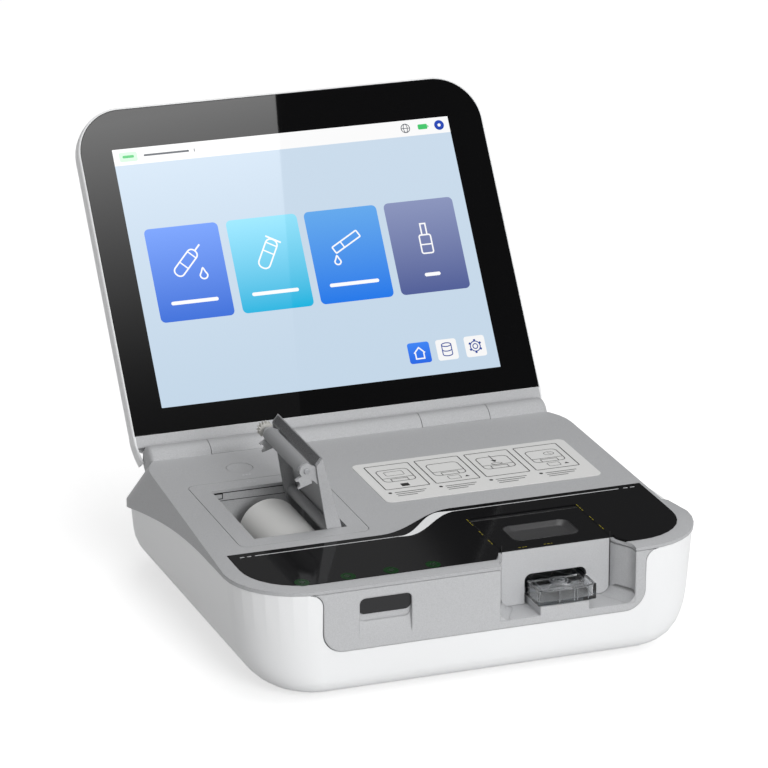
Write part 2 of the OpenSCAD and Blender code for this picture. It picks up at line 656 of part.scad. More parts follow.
module lid_board() color([0.1, 0.35, 0.2]) in_lid() {
    y0 = glass_back + glass_t + 5.6;
    span([-60, y0 + 2, 60], [60, y0 + 3.4, 130]);
    span([-20, y0 + 3.4, 80], [-4, y0 + 5, 96]);
    span([20, y0 + 3.4, 84], [44, y0 + 5.4, 92]);
    for (x = [-55, 55], z = [65, 125]) rod_y(y0 - 0.1, y0 + 2, x, z, 2);
}
module puck(x, z, r, t, e) {
    translate([x, glass_back + bezel_d, z]) rotate([-90, 0, 0]) rotate_extrude($fn = 48) {
        square([r - e, cover_d - t]);
        square([r, cover_d - e - t]);
        intersection() {
            translate([r - e, cover_d - e - t]) circle(e, $fn = 32);
            square([r, cover_d]);
        }
    }
}
module cover_block(t, e) {
    w = lid_w / 2 - t;
    low = lid_bottom - 1.8 + t;
    r = lid_corner_r - t;
    intersection() {
        hull() {
            for (s = [-1, 1]) {
                puck(s * (w - r), lid_top - t - r, r, t, e);
                puck(s * (w - e - 1), low + e + 1, e + 1, t, e);
            }
        }
        span([-lid_w, glass_back + bezel_d, 0], [lid_w, 60, lid_top + 5]);
    }
}
module rear_cover() color("white") in_lid() {
    difference() {
        cover_block(0, edge_round);
        translate([0, -0.01, 0]) cover_block(2, edge_round - 2);
        for (x = [-screw_x, screw_x], z = screw_v) rod_y(lid_back - 2.6, lid_back + 1, x, z, 3);
    }
    for (x = [-screw_x, screw_x], z = screw_v) difference() {
        rod_y(glass_back + bezel_d, lid_back - 1.9, x, z, 4.2);
        rod_y(0, 40, x, z, 1.6);
        rod_y(lid_back - 2.6, lid_back + 1, x, z, 3);
    }
}
module lid_screws() color([0.3, 0.31, 0.33]) in_lid() for (x = [-screw_x, screw_x], z = screw_v)
    translate([x, lid_back - 2.6, z]) rotate([90, 0, 0]) screw(1.15, cover_d - 2.6 + 1.6, 2.8, 1.6);

// Printer
module printer_frame() color([0.6, 0.61, 0.62]) on_deck() {
    tub_y0 = mouth_y0 - bucket_t;
    tub_y1 = mouth_y1 + bucket_t;
    difference() {
        union() {
            translate([0, 0, -frame_t]) linear_extrude(frame_t)
                soft_rect([frame_x0, frame_y0], [frame_x1, frame_y1], 5);
            span([tub_x0 - bucket_t, tub_y0, bucket_z - bucket_t], [tub_x1 + bucket_t, tub_y1, -frame_t + eps]);
        }
        span([mouth_x0, mouth_y0, bucket_z], [mouth_x1, mouth_y1, 5]);
        span([tub_x0, mouth_y0, bucket_z], [tub_x1, mouth_y1, -frame_t]);
        rod_y(mouth_y0, mouth_y1, door_pin_x, door_pin_z, mouth_x1 - door_pin_x + 1.5);
        rod_y(tub_y0 - 2, tub_y1 + 2, door_pin_x, door_pin_z, door_pin_r);
        rod_y(mouth_y1 - 1, tub_y1 + 2, idler_x, idler_z, 1.5);
        rod_y(mouth_y1 - 1, tub_y1 + 2, idler_x, idler_z - pinion_drop, 2.6);
    }
    cradle();
}
// Cradle that carries the roll clear of the bucket's floor
module cradle() {
    for (y = [roll_y0 + 4, roll_y0 + paper_w - 7]) along_y(y, y + 3) difference() {
        translate([roll_x - 20, bucket_z - eps]) square([40, 9]);
        translate([roll_x, roll_z]) circle(roll_r + 0.4, $fn = 120);
    }
}
module print_head() color([0.08, 0.08, 0.09]) on_deck() {
    span([tub_x0 + 0.1, mouth_y0 + 3, -22], [mouth_x0 - 0.1, mouth_y0 + 64, -5.9]);
}
// Steel cutting strip on the bevel of the door's free edge
module tear_bar() color([0.7, 0.71, 0.72]) door_turn(door_open) along_y(door_y0 + 2, door_y1 - 2)
    polygon([[door_edge + 0.4, -0.5], [door_edge + 3.4, -4.5], [door_edge + 3, -4.8], [door_edge, -0.8]]);
door_y0 = mouth_y0 + 0.4;
door_y1 = mouth_y1 - 0.4;
door_edge = mouth_x0 + 0.6;
// The door is drawn closed and turned about its pin
module paper_door() color([0.68, 0.69, 0.7]) door_turn(door_open) {
    t = 1.6;
    difference() {
        union() {
            along_y(door_y0, door_y1) polygon([[door_edge, 0], [mouth_x1 - 0.4, 0], [mouth_x1 - 0.4, -t],
                [door_edge + 1.3, -t]]);
            along_y(door_y0, door_y1) polygon([[door_edge + 0.4, -0.5], [door_edge + 3.4, -4.5],
                [door_edge + 5.2, -4.5], [door_edge + 2.6, -0.5]]);
            for (y = [door_y0, door_y1 - t]) along_y(y, y + t) polygon([[door_edge + 1, -1],
                [door_edge + 3.6, -4.6], [platen_x + 5, -5.4], [door_pin_x - 4, -8.6], [door_pin_x + 4, -8.6],
                [mouth_x1 - 0.6, -5], [mouth_x1 - 0.6, -1]]);
            for (y = [hook_y0, hook_y1]) along_y(y, y + hook_t) hook_plate();
            rod_y(door_y0, door_y1, door_pin_x, door_pin_z, 3.2);
            span([platen_x + 10, hook_y0, -3.2], [platen_x + 12, hook_y1 + hook_t, -1.2]);
        }
        rod_y(door_y0 - 1, door_y1 + 1, door_pin_x, door_pin_z, door_pin_r + run);
        for (y = [hook_y0, hook_y1]) rod_y(y - 1, y + hook_t + 1, platen_x, platen_z, platen_shaft_r + run);
    }
}
hook_t = 2;
hook_y0 = roll_y0 - 2.4;
hook_y1 = roll_y0 + paper_w + 0.4;
// Plate that holds one end of the platen, with a claw on its far side
module hook_plate() {
    difference() {
        union() {
            polygon([[door_edge + 5, -1], [door_edge + 4.6, -4], [platen_x - 3.6, -9.4], [platen_x - 3.2, -13],
                [platen_x + 5, -13.6], [platen_x + 7, -8], [platen_x + 14, -4], [platen_x + 16, -1]]);
            translate([platen_x, platen_z]) circle(3.9);
            polygon([[platen_x + 2, -13.4], [platen_x + 3, -17.6], [platen_x + 8.6, -17.4],
                [platen_x + 8.2, -9], [platen_x + 4, -9]]);
        }
        translate([platen_x + 5.8, -17.6]) circle(2, $fn = 32);
    }
}
module door_pin() color("silver") on_deck()
    rod_y(mouth_y0 - bucket_t, mouth_y1 + bucket_t, door_pin_x, door_pin_z, door_pin_r);
module platen_roller() color([0.25, 0.25, 0.27]) door_turn(door_open) difference() {
    rod_y(hook_y0 + hook_t + 0.3, hook_y1 - 0.3, platen_x, platen_z, platen_r);
    rod_y(hook_y0, hook_y1 + 1, platen_x, platen_z, platen_shaft_r);
}
module platen_shaft() color("silver") door_turn(door_open)
    rod_y(hook_y0 - 0.8, gear_y0 + gear_t, platen_x, platen_z, platen_shaft_r);
module platen_gear() color([0.85, 0.85, 0.82]) door_turn(door_open) translate([platen_x, 0, platen_z])
    difference() {
        gear(platen_teeth, gear_y0, gear_t);
        rod_y(gear_y0 - 1, gear_y0 + gear_t + 1, 0, 0, platen_shaft_r);
    }
module idler_gear() color([0.85, 0.85, 0.82]) on_deck() translate([idler_x, 0, idler_z])
    difference() {
        gear(idler_teeth, gear_y0, gear_t, 90 + 180 / idler_teeth);
        rod_y(gear_y0 - 1, gear_y0 + gear_t + 1, 0, 0, 1.5 + run);
    }
module idler_axle() color("silver") on_deck()
    rod_y(gear_y0 - 0.6, mouth_y1 + bucket_t, idler_x, idler_z, 1.5);
module motor_pinion() color([0.8, 0.75, 0.5]) on_deck() translate([idler_x, 0, idler_z - pinion_drop])
    difference() {
        gear(pinion_teeth, gear_y0, gear_t, 90);
        rod_y(gear_y0 - 1, gear_y0 + gear_t + 1, 0, 0, 1 + run);
    }
module printer_motor() color([0.5, 0.51, 0.53]) on_deck() {
    z = idler_z - pinion_drop;
    rod_y(mouth_y1 + bucket_t, mouth_y1 + bucket_t + 15, idler_x, z, 9);
    rod_y(mouth_y1 - 0.5, mouth_y1 + bucket_t, idler_x, z, 2.4);
    rod_y(gear_y0, mouth_y1 - 0.5, idler_x, z, 1);
}
module paper_roll() color([0.92, 0.92, 0.9]) on_deck() difference() {
    rod_y(roll_y0, roll_y0 + paper_w, roll_x, roll_z, roll_r);
    rod_y(roll_y0 - 1, roll_y0 + paper_w + 1, roll_x, roll_z, 6.5);
}
module roll_core() color([0.7, 0.6, 0.45]) on_deck() difference() {
    rod_y(roll_y0, roll_y0 + paper_w, roll_x, roll_z, 6.5);
    rod_y(roll_y0 - 1, roll_y0 + paper_w + 1, roll_x, roll_z, 5.2);
}

// Cartridge and what works on it
module cartridge_shell() color([0.85, 0.9, 0.92, 0.5]) {
    difference() {
        intersection() {
            soft_box([cart_x0, cart_y0, cart_z], [cart_x1, cart_y0 + cart_l, cart_z + cart_h], 1.5);
            rod_z(cart_z - 1, cart_z + cart_h + 1, bay_x, cart_y0 + 130, 130);
        }
        soft_box([cart_x0 + 1.4, cart_y0 + 3.4, cart_z + 1.4],
            [cart_x1 - 1.4, cart_y0 + 16, cart_z + cart_h - 1.3], 1);
        soft_box([cart_x0 + 2, cart_y0 + 22, cart_z - 1], [cart_x1 - 2, cart_y0 + cart_l - 3, cart_z + 3.2], 1);
        rod_z(cart_z + cart_h - 1.6, cart_z + cart_h + 1, bay_x + 2, cart_y0 + 9, 3.2);
    }
}
module sensor_chip() color([0.15, 0.3, 0.25]) {
    soft_box([cart_x0 + 2.1, cart_y0 + 22.1, cart_z + 0.6],
        [cart_x1 - 2.1, cart_y0 + cart_l - 3.1, cart_z + 3.2], 0.9);
}
module measuring_block() color([0.75, 0.76, 0.78]) {
    span([bay_x - 20, front_y + 41, bay_floor], [bay_x + 20, front_y + 62, cart_z - 0.1]);
    for (s = [-1, 1]) span([bay_x + s * 19.5 - 1.8, front_y + 41, cart_z - 0.1],
        [bay_x + s * 19.5 + 1.8, front_y + 62, cart_z + cart_h + 0.3]);
}
head_z = cart_z + cart_h + 1.4;
module contact_head() color([0.3, 0.31, 0.34]) {
    difference() {
        span([bay_x - 17, front_y + 30, head_z], [bay_x + 17, front_y + 58, head_z + 7]);
        for (x = [-13, 13]) rod_z(head_z - 1, head_z + 8, bay_x + x, front_y + 52, 1.6 + run);
    }
    for (k = [-3:3]) rod_z(head_z - 0.3, head_z, bay_x + k * 3.4, front_y + 40, 0.6);
}
module press_guides() color("silver") {
    top = head_z + 8.2;
    for (x = [-13, 13]) rod_z(head_z - 0.9, top, bay_x + x, front_y + 52, 1.6);
    span([bay_x - 29, front_y + 48, top], [bay_x + 29, front_y + 56, top + 1]);
    for (x = [-29, 27.6]) {
        span([bay_x + x, front_y + 56, top], [bay_x + x + 1.4, front_y + 66, top + 1]);
        span([bay_x + x, front_y + 62.6, floor_z], [bay_x + x + 1.4, front_y + 66, top + 1]);
    }
}
module pump_housing() color([0.35, 0.36, 0.4]) translate([pump_at[0], pump_at[1], 0]) {
    difference() {
        rod_z(floor_z + 3, 34, 0, 0, 15);
        rod_z(24, 35, 0, 0, 12.5);
        rod_z(16, 25, 0, 0, 1.5 + run);
    }
    rod_z(floor_z, floor_z + 3, -6, 0, 6);
}
module pump_rotor() color([0.85, 0.5, 0.2]) translate([pump_at[0], pump_at[1], 0]) {
    rod_z(17, 24.3, 0, 0, 1.5);
    rod_z(24.3, 31, 0, 0, 6);
    for (k = [0:2]) rotate(k * 120) rod_z(24.6, 30.6, 8.2, 0, 3);
}

// Electronics and base hardware
module rubber_feet() color([0.15, 0.15, 0.16])
    seats([-foot_x, foot_x], foot_y) rod_z(0, shell_z + 1, 0, 0, foot_r);
module case_screws() color([0.3, 0.31, 0.33])
    seats([-boss_x, boss_x], boss_y) translate([0, 0, shell_z + 2.4]) screw(1.45, 36, 3.6, 2);
module battery_pack() color([0.2, 0.22, 0.28])
    soft_box([battery[0], battery[1], floor_z], [battery[2], battery[3], 36], 2);
module battery_door() color([0.9, 0.9, 0.9]) {
    difference() {
        span([battery[0] - 3.7, battery[1] - 3.7, shell_z], [battery[2] + 3.7, battery[3] + 3.7, floor_z]);
        for (x = door_screw_x) {
            rod_z(0, 10, x, battery[1] - door_screw_in, 1.1);
            rod_z(0, shell_z + 1.1, x, battery[1] - door_screw_in, 1.75);
        }
    }
    // Tabs that hook over the floor behind the door
    for (x = door_screw_x) span([x - 4, battery[3] + 0.6, floor_z], [x + 4, battery[3] + 9, floor_z + 1.4]);
}
module battery_door_screws() color([0.3, 0.31, 0.33]) for (x = door_screw_x)
    translate([x, battery[1] - door_screw_in, shell_z + 1.1]) {
        rod_z(0, 5.4, 0, 0, 1.05);
        rod_z(-0.9, 0, 0, 0, 1.65);
    }
module main_board() color([0.1, 0.35, 0.2]) {
    span([-100, -148, board_z], [48, -38, board_z + board_t]);
    top = board_z + board_t;
    span([-20, -110, top], [0, -90, top + 2]);
    span([10, -110, top], [24, -96, top + 1.6]);
    for (k = [0:3]) rod_z(top, top + 7, 8 + k * 9, -60, 3.4);
    span([-36, -46, top], [4, -40, top + 6]);
    span([28, -140, top], [34, -112, top + 5]);
}
module power_board() color([0.1, 0.35, 0.2]) {
    span([38, -35.5, board_z], [90, -9, board_z + board_t]);
    for (x = [42, 86], y = [-31, -13]) rod_z(floor_z, board_z, x, y, 2.5);
    span([44, -30, board_z + board_t], [58, -16, board_z + 14]);
    span([66, -31, board_z + board_t], [84, -29.5, board_z + 13]);
    for (k = [0:3]) span([67 + k * 5, -29.5, board_z + board_t], [68.5 + k * 5, -16, board_z + 13]);
}
wall_in = body_rear - wall - 2;
module port_board() color([0.1, 0.35, 0.2]) {
    span([-40, wall_in - 22, 11], [30, wall_in - 0.6, 12.6]);
    for (x = [-36, 26]) rod_z(floor_z, 11, x, wall_in - 18, 2);
    for (x = [-8, 10]) difference() {
        span([x + 0.4, wall_in - 14, 12.6], [x + 13.6, body_rear - 1.2, 22.6]);
        span([x + 1.2, wall_in - 6, 17.2], [x + 12.8, body_rear, 21.9]);
        span([x + 0.3, wall_in - 1, 12], [x + 13.7, body_rear, 16.4]);
    }
    difference() {
        span([-33.6, wall_in - 14, 12.6], [-17.4, body_rear - 1.2, 26.6]);
        span([-32, wall_in - 8, 14.4], [-19, body_rear, 24.6]);
        span([-34, wall_in - 1, 12], [-17, body_rear, 13.4]);
    }
}
module power_jack() color([0.1, 0.1, 0.1]) difference() {
    union() {
        rod_y(wall_in - 10, body_rear - 1, 84, 20, 5);
        span([78.5, wall_in - 10, floor_z], [89.5, wall_in - 6, 20]);
    }
    rod_y(body_rear - 12, body_rear, 84, 20, 3.2);
}
switch_y = body_rear - 8;
module switch_housing() color([0.12, 0.12, 0.12]) difference() {
    span([54, switch_y - 6, port_z0], [74, body_rear - 0.9, port_z1]);
    span([55.6, switch_y - 4.8, port_z0 + 1.2], [72.4, body_rear + 1, port_z1 - 1.2]);
    rod_x(54.4, 73.6, switch_y, 20, 1.2 + run);
}
// Rocker on stub pins, drawn with its upper half pressed in
module power_rocker() color([0.1, 0.1, 0.1]) {
    translate([0, switch_y, 20]) rotate([-9, 0, 0]) along_x(55.9, 72.1)
        polygon([[-3, -2.6], [2.6, -4.6], [6.2, -4.6], [5, 0], [6.2, 4.6], [2.6, 4.6], [-3, 2.6]]);
    rod_x(54.6, 73.4, switch_y, 20, 1.2);
}
module fan_housing() color([0.12, 0.12, 0.13]) translate([fan_at[0], fan_at[1], floor_z]) {
    difference() {
        span([-fan_size / 2, -fan_size / 2, 0], [fan_size / 2, fan_size / 2, 10]);
        rod_z(-1, 11, 0, 0, fan_size / 2 - 1.4);
    }
    for (k = [0:2]) rotate(k * 120) span([5, -1, 0.2], [fan_size / 2 - 1, 1, 1.6]);
    difference() { rod_z(0.2, 1.6, 0, 0, 8); rod_z(-1, 4, 0, 0, 1.2); }
}
module fan_rotor() color([0.2, 0.2, 0.21]) translate([fan_at[0], fan_at[1], floor_z]) {
    rod_z(0.4, 2.2, 0, 0, 1.15);
    rod_z(2, 9.4, 0, 0, 8);
    for (k = [0:6]) rotate(k * 360 / 7) translate([7, 0, 5.6]) rotate([38, 0, 0])
        span([0, -4, -0.6], [10.2, 4, 0.6]);
}
module speaker() color([0.2, 0.2, 0.22]) difference() {
    rod_z(floor_z, floor_z + 6, speaker_at[0], speaker_at[1], 13);
    rod_z(floor_z - 1, floor_z + 1.5, speaker_at[0], speaker_at[1], 11);
}

at_bench() bottom_shell();
at_bench() top_housing();
at_bench() front_panel();
at_bench() control_fascia();
at_bench() module_cover();
at_bench() cover_fascia();
at_bench() cover_hinge_bracket();
at_bench() cover_hinge_pins();
at_bench() scan_window();
at_bench() scan_engine();
at_bench() rubber_feet();
at_bench() case_screws();
at_bench() battery_pack();
at_bench() battery_door();
at_bench() battery_door_screws();
at_bench() main_board();
at_bench() power_board();
at_bench() port_board();
at_bench() power_jack();
at_bench() switch_housing();
at_bench() power_rocker();
at_bench() fan_housing();
at_bench() fan_rotor();
at_bench() speaker();
at_bench() status_lights();
at_bench() light_board();
at_bench() printer_button();
at_bench() button_switch();
at_bench() instruction_label();
at_bench() hinge_brackets();
at_bench() hinge_shafts();
at_bench() hinge_bushes();
at_bench() lid_knuckles();
at_bench() lid_bezel();
at_bench() cover_glass();
at_bench() lcd_panel();
at_bench() lid_board();
at_bench() rear_cover();
at_bench() lid_screws();
at_bench() printer_frame();
at_bench() print_head();
at_bench() tear_bar();
at_bench() paper_door();
at_bench() door_pin();
at_bench() platen_roller();
at_bench() platen_shaft();
at_bench() platen_gear();
at_bench() idler_gear();
at_bench() idler_axle();
at_bench() motor_pinion();
at_bench() printer_motor();
at_bench() paper_roll();
at_bench() roll_core();
at_bench() cartridge_shell();
at_bench() sensor_chip();
at_bench() measuring_block();
at_bench() contact_head();
at_bench() press_guides();
at_bench() pump_housing();
at_bench() pump_rotor();
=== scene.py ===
import math
import bmesh
import bpy
import numpy as np
from mathutils import Matrix, Vector


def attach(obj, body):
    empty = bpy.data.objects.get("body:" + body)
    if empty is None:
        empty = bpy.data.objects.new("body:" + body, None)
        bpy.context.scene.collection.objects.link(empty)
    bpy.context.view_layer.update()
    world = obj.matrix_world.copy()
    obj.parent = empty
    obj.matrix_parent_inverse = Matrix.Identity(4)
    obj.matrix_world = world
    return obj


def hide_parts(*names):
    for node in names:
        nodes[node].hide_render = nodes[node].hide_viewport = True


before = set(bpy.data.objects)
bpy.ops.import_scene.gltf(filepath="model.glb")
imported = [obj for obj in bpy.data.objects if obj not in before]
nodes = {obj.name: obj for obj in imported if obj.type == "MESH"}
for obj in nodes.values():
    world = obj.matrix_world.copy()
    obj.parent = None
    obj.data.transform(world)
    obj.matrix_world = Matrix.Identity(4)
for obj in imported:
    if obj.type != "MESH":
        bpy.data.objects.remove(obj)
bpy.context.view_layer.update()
print("frame loaded:", len(nodes), "CAD nodes")

mm = 0.001
hingeY = 42.7444    # hinge line from the middle of the footprint, mm
deck = {"slope": 1.1, "height": 70.3, "skin": 0.2}
lid = {"lean": 34.2, "axisZ": 66.7, "glassDepth": 4.0}


def deckPoints(x, y, h):
    # a point of the deck frame (across, back from the hinge line, up) turned by the deck's slope
    a = math.radians(deck["slope"])
    x, y, h = np.broadcast_arrays(np.asarray(x, float), np.asarray(y, float), np.asarray(h, float))
    return np.stack([x, hingeY + y * math.cos(a) - h * math.sin(a),
                     deck["height"] + y * math.sin(a) + h * math.cos(a)], -1) * mm


def lidPoints(x, b, v):
    # a point of the open lid (across, depth behind the hinge plane, up the glass) turned by the lid's lean
    a = math.radians(lid["lean"])
    x, b, v = np.broadcast_arrays(np.asarray(x, float), np.asarray(b, float), np.asarray(v, float))
    return np.stack([x, hingeY + b * math.cos(a) + v * math.sin(a),
                     lid["axisZ"] - b * math.sin(a) + v * math.cos(a)], -1) * mm


def linear(r, g, b):
    # an sRGB colour given as 0 to 255, as a linear colour
    c = np.array([r, g, b]) / 255
    c = np.where(c <= 0.04045, c / 12.92, ((c + 0.055) / 1.055) ** 2.4)
    return (float(c[0]), float(c[1]), float(c[2]), 1.0)


# materials: shared surface effects are node groups, the Principled shader stays in each material
def newGroup(name, inputs, outputs):
    group = bpy.data.node_groups.new(name, "ShaderNodeTree")
    for label, kind, value in inputs:
        s = group.interface.new_socket(name=label, in_out="INPUT", socket_type=kind)
        s.default_value = value
    for label, kind in outputs:
        group.interface.new_socket(name=label, in_out="OUTPUT", socket_type=kind)
    enter = group.nodes.new("NodeGroupInput")
    leave = group.nodes.new("NodeGroupOutput")
    return group, enter, leave


def mathNode(tree, kind, a, b, clamp=False):
    n = tree.nodes.new("ShaderNodeMath")
    n.operation = kind
    n.use_clamp = clamp
    for k, v in enumerate((a, b)):
        if isinstance(v, (int, float)):
            n.inputs[k].default_value = v
        elif v is not None:
            tree.links.new(v, n.inputs[k])
    return n.outputs[0]


def noiseNode(tree, vector, scale, detail=3.0):
    n = tree.nodes.new("ShaderNodeTexNoise")
    n.inputs["Detail"].default_value = detail
    n.inputs["Roughness"].default_value = 0.6
    if isinstance(scale, (int, float)):
        n.inputs["Scale"].default_value = scale
    else:
        tree.links.new(scale, n.inputs["Scale"])
    tree.links.new(vector, n.inputs["Vector"])
    return n.outputs["Fac"]


def objectPoint(tree, stretch=None):
    t = tree.nodes.new("ShaderNodeTexCoord").outputs["Object"]
    if stretch is None:
        return t
    m = tree.nodes.new("ShaderNodeMapping")
    m.inputs["Scale"].default_value = stretch
    tree.links.new(t, m.inputs["Vector"])
    return m.outputs["Vector"]


def tint(tree, colour, factor):
    # colour times a grey factor, as a Mix in Multiply
    n = tree.nodes.new("ShaderNodeMix")
    n.data_type = "RGBA"
    n.blend_type = "MULTIPLY"
    n.inputs[0].default_value = 1.0
    tree.links.new(colour, n.inputs[6])
    tree.links.new(factor, n.inputs[7])
    return n.outputs[2]


def surfaceGroup(name, stretch, driftScale):
    # fine grain from noise, a slow drift of tone, and a roughness that follows the grain
    group, enter, leave = newGroup(
        name,
        [("Colour", "NodeSocketColor", (0.5, 0.5, 0.5, 1)), ("Grain Scale", "NodeSocketFloat", 2500.0),
         ("Speckle", "NodeSocketFloat", 0.05), ("Roughness", "NodeSocketFloat", 0.5),
         ("Rough Spread", "NodeSocketFloat", 0.1)],
        [("Colour", "NodeSocketColor"), ("Roughness", "NodeSocketFloat"), ("Height", "NodeSocketFloat")])
    grain = noiseNode(group, objectPoint(group, stretch), enter.outputs["Grain Scale"])
    drift = noiseNode(group, objectPoint(group), driftScale, 1.0)
    offset = mathNode(group, "SUBTRACT", grain, 0.5)
    tone = mathNode(group, "MULTIPLY", offset, enter.outputs["Speckle"])
    slow = mathNode(group, "MULTIPLY", mathNode(group, "SUBTRACT", drift, 0.5), 0.06)
    factor = mathNode(group, "ADD", mathNode(group, "ADD", tone, slow), 1.0)
    group.links.new(tint(group, enter.outputs["Colour"], factor), leave.inputs["Colour"])
    spread = mathNode(group, "MULTIPLY", offset, enter.outputs["Rough Spread"])
    rough = mathNode(group, "ADD", spread, enter.outputs["Roughness"], True)
    group.links.new(rough, leave.inputs["Roughness"])
    group.links.new(grain, leave.inputs["Height"])
    return group


mouldGrain = surfaceGroup("mouldGrain", None, 9.0)
brushGrain = surfaceGroup("brushGrain", (0.03, 1.0, 1.0), 12.0)


def newMaterial(name):
    m = bpy.data.materials.new(name)
    m.use_nodes = True
    return m, m.node_tree, m.node_tree.nodes["Principled BSDF"]


def surface(name, colour, group=mouldGrain, grain=2500.0, speckle=0.05, rough=0.5, spread=0.1, depth=0.00002,
            edge=0.0004, **fixed):
    # one finish: a group for grain, a Bump for its height, and a Bevel node that eases the edges
    m, tree, shader = newMaterial(name)
    for k, v in fixed.items():
        shader.inputs[k.replace("_", " ")].default_value = v
    g = tree.nodes.new("ShaderNodeGroup")
    g.node_tree = group
    g.inputs["Colour"].default_value = colour
    g.inputs["Grain Scale"].default_value = grain
    g.inputs["Speckle"].default_value = speckle
    g.inputs["Roughness"].default_value = rough
    g.inputs["Rough Spread"].default_value = spread
    tree.links.new(g.outputs["Colour"], shader.inputs["Base Color"])
    tree.links.new(g.outputs["Roughness"], shader.inputs["Roughness"])
    bump = tree.nodes.new("ShaderNodeBump")
    bump.inputs["Strength"].default_value = 0.35
    bump.inputs["Distance"].default_value = depth
    tree.links.new(g.outputs["Height"], bump.inputs["Height"])
    if edge:
        soft = tree.nodes.new("ShaderNodeBevel")
        soft.samples = 4
        soft.inputs["Radius"].default_value = edge
        tree.links.new(soft.outputs["Normal"], bump.inputs["Normal"])
    tree.links.new(bump.outputs["Normal"], shader.inputs["Normal"])
    return m


def litPicture(name, low, high, zLow, zHigh):
    # a lit part of the display: its glow runs from one colour to another up the screen
    m, tree, shader = newMaterial(name)
    split = tree.nodes.new("ShaderNodeSeparateXYZ")
    tree.links.new(objectPoint(tree), split.inputs[0])
    ramp = tree.nodes.new("ShaderNodeMapRange")
    ramp.inputs["From Min"].default_value = zLow
    ramp.inputs["From Max"].default_value = zHigh
    tree.links.new(split.outputs["Z"], ramp.inputs["Value"])
    mix = tree.nodes.new("ShaderNodeMix")
    mix.data_type = "RGBA"
    mix.inputs[6].default_value = low
    mix.inputs[7].default_value = high
    tree.links.new(ramp.outputs[0], mix.inputs[0])
    tree.links.new(mix.outputs[2], shader.inputs["Emission Color"])
    shader.inputs["Base Color"].default_value = (0.01, 0.01, 0.012, 1)
    shader.inputs["Emission Strength"].default_value = 1.0
    haze = noiseNode(tree, objectPoint(tree), 40.0)
    tree.links.new(mathNode(tree, "MULTIPLY", haze, 0.03), shader.inputs["Roughness"])
    return m


def printInk(name, colour, speckle, rough):
    # one printed colour: so thin that it has no eased edge and next to no grain
    return surface(name, colour, grain=1800, speckle=speckle, rough=rough, depth=0.000005, edge=0)


def metal(name, colour, grain, speckle, rough, spread=0.2):
    # a bare metal with brushed grain
    return surface(name, colour, group=brushGrain, grain=grain, speckle=speckle, rough=rough, spread=spread,
                   Metallic=1.0)


greyPlastic = surface("greyPlastic", linear(181, 182, 184), grain=1700, speckle=0.5, rough=0.5, spread=0.25,
                      depth=0.00003)
palePlastic = surface("palePlastic", linear(190, 191, 193), grain=1700, speckle=0.42, rough=0.48, spread=0.2,
                      depth=0.00003, edge=0.0015)
whiteSatin = surface("whiteSatin", linear(245, 246, 247), grain=1400, speckle=0.02, rough=0.34, spread=0.08,
                     depth=0.00001)
innerGrey = surface("innerGrey", linear(150, 151, 153), grain=1800, speckle=0.08, rough=0.55)
darkPlastic = surface("darkPlastic", linear(42, 43, 45), grain=1600, speckle=0.15, rough=0.5)
pianoBlack = surface("pianoBlack", linear(24, 24, 25), grain=300, speckle=0.05, rough=0.08, spread=0.03,
                     depth=0.000002, Specular_IOR_Level=0.1)
displayGlass = surface("displayGlass", linear(8, 8, 9), grain=200, speckle=0.1, rough=0.012, spread=0.01,
                       depth=0.0000005, edge=0.0006)
smokedWindow = surface("smokedWindow", linear(16, 16, 20), grain=200, speckle=0.1, rough=0.06, spread=0.02,
                       depth=0.000001)
blackRubber = surface("blackRubber", linear(36, 36, 38), grain=900, speckle=0.3, rough=0.78, spread=0.2,
                      depth=0.00008)
platenRubber = surface("platenRubber", linear(150, 151, 153), grain=1100, speckle=0.12, rough=0.62,
                       spread=0.15, depth=0.00004)
steel = metal("steel", linear(190, 191, 194), 3000, 0.15, 0.3, 0.25)
blackScrew = metal("blackScrew", linear(70, 71, 74), 2400, 0.2, 0.4)
machinedAlloy = metal("machinedAlloy", linear(205, 206, 208), 1500, 0.1, 0.34)
bearingBronze = metal("bearingBronze", linear(176, 140, 84), 1200, 0.2, 0.36)
gearNylon = surface("gearNylon", linear(206, 205, 200), grain=1500, speckle=0.05, rough=0.42)
solderMask = surface("solderMask", linear(22, 92, 58), grain=700, speckle=0.5, rough=0.36, spread=0.2,
                     depth=0.00005)
shrinkFilm = surface("shrinkFilm", linear(48, 54, 78), grain=500, speckle=0.2, rough=0.3, spread=0.2,
                     depth=0.00006)
rolledPaper = surface("rolledPaper", linear(244, 244, 242), grain=3500, speckle=0.05, rough=0.8,
                      depth=0.00003, edge=0)
greyCard = surface("greyCard", linear(176, 160, 138), grain=1800, speckle=0.3, rough=0.85, depth=0.00006)
labelFilm = surface("labelFilm", linear(231, 231, 230), grain=2600, speckle=0.03, rough=0.36, depth=0.00001,
                    edge=0.0002)
lampLens = surface("lampLens", linear(14, 44, 20), grain=800, speckle=0.3, rough=0.16, depth=0.00001)
sensorCoat = surface("sensorCoat", linear(70, 84, 92), grain=900, speckle=0.4, rough=0.3)
whitePrint = printInk("whitePrint", linear(240, 241, 242), 0.02, 0.4)
greyPrint = printInk("greyPrint", linear(98, 98, 99), 0.1, 0.4)
inkPrint = printInk("inkPrint", linear(48, 46, 46), 0.2, 0.5)
palePrint = printInk("palePrint", linear(205, 206, 208), 0.05, 0.5)
ochrePrint = printInk("ochrePrint", linear(150, 138, 20), 0.3, 0.4)
greenPrint = printInk("greenPrint", linear(4, 56, 14), 0.2, 0.3)
clearShell = surface("clearShell", (0.87, 0.88, 0.89, 1), grain=120, speckle=0.0, rough=0.03, spread=0.02,
                     depth=0.00001, edge=0.0005, Transmission_Weight=1.0, IOR=1.5)
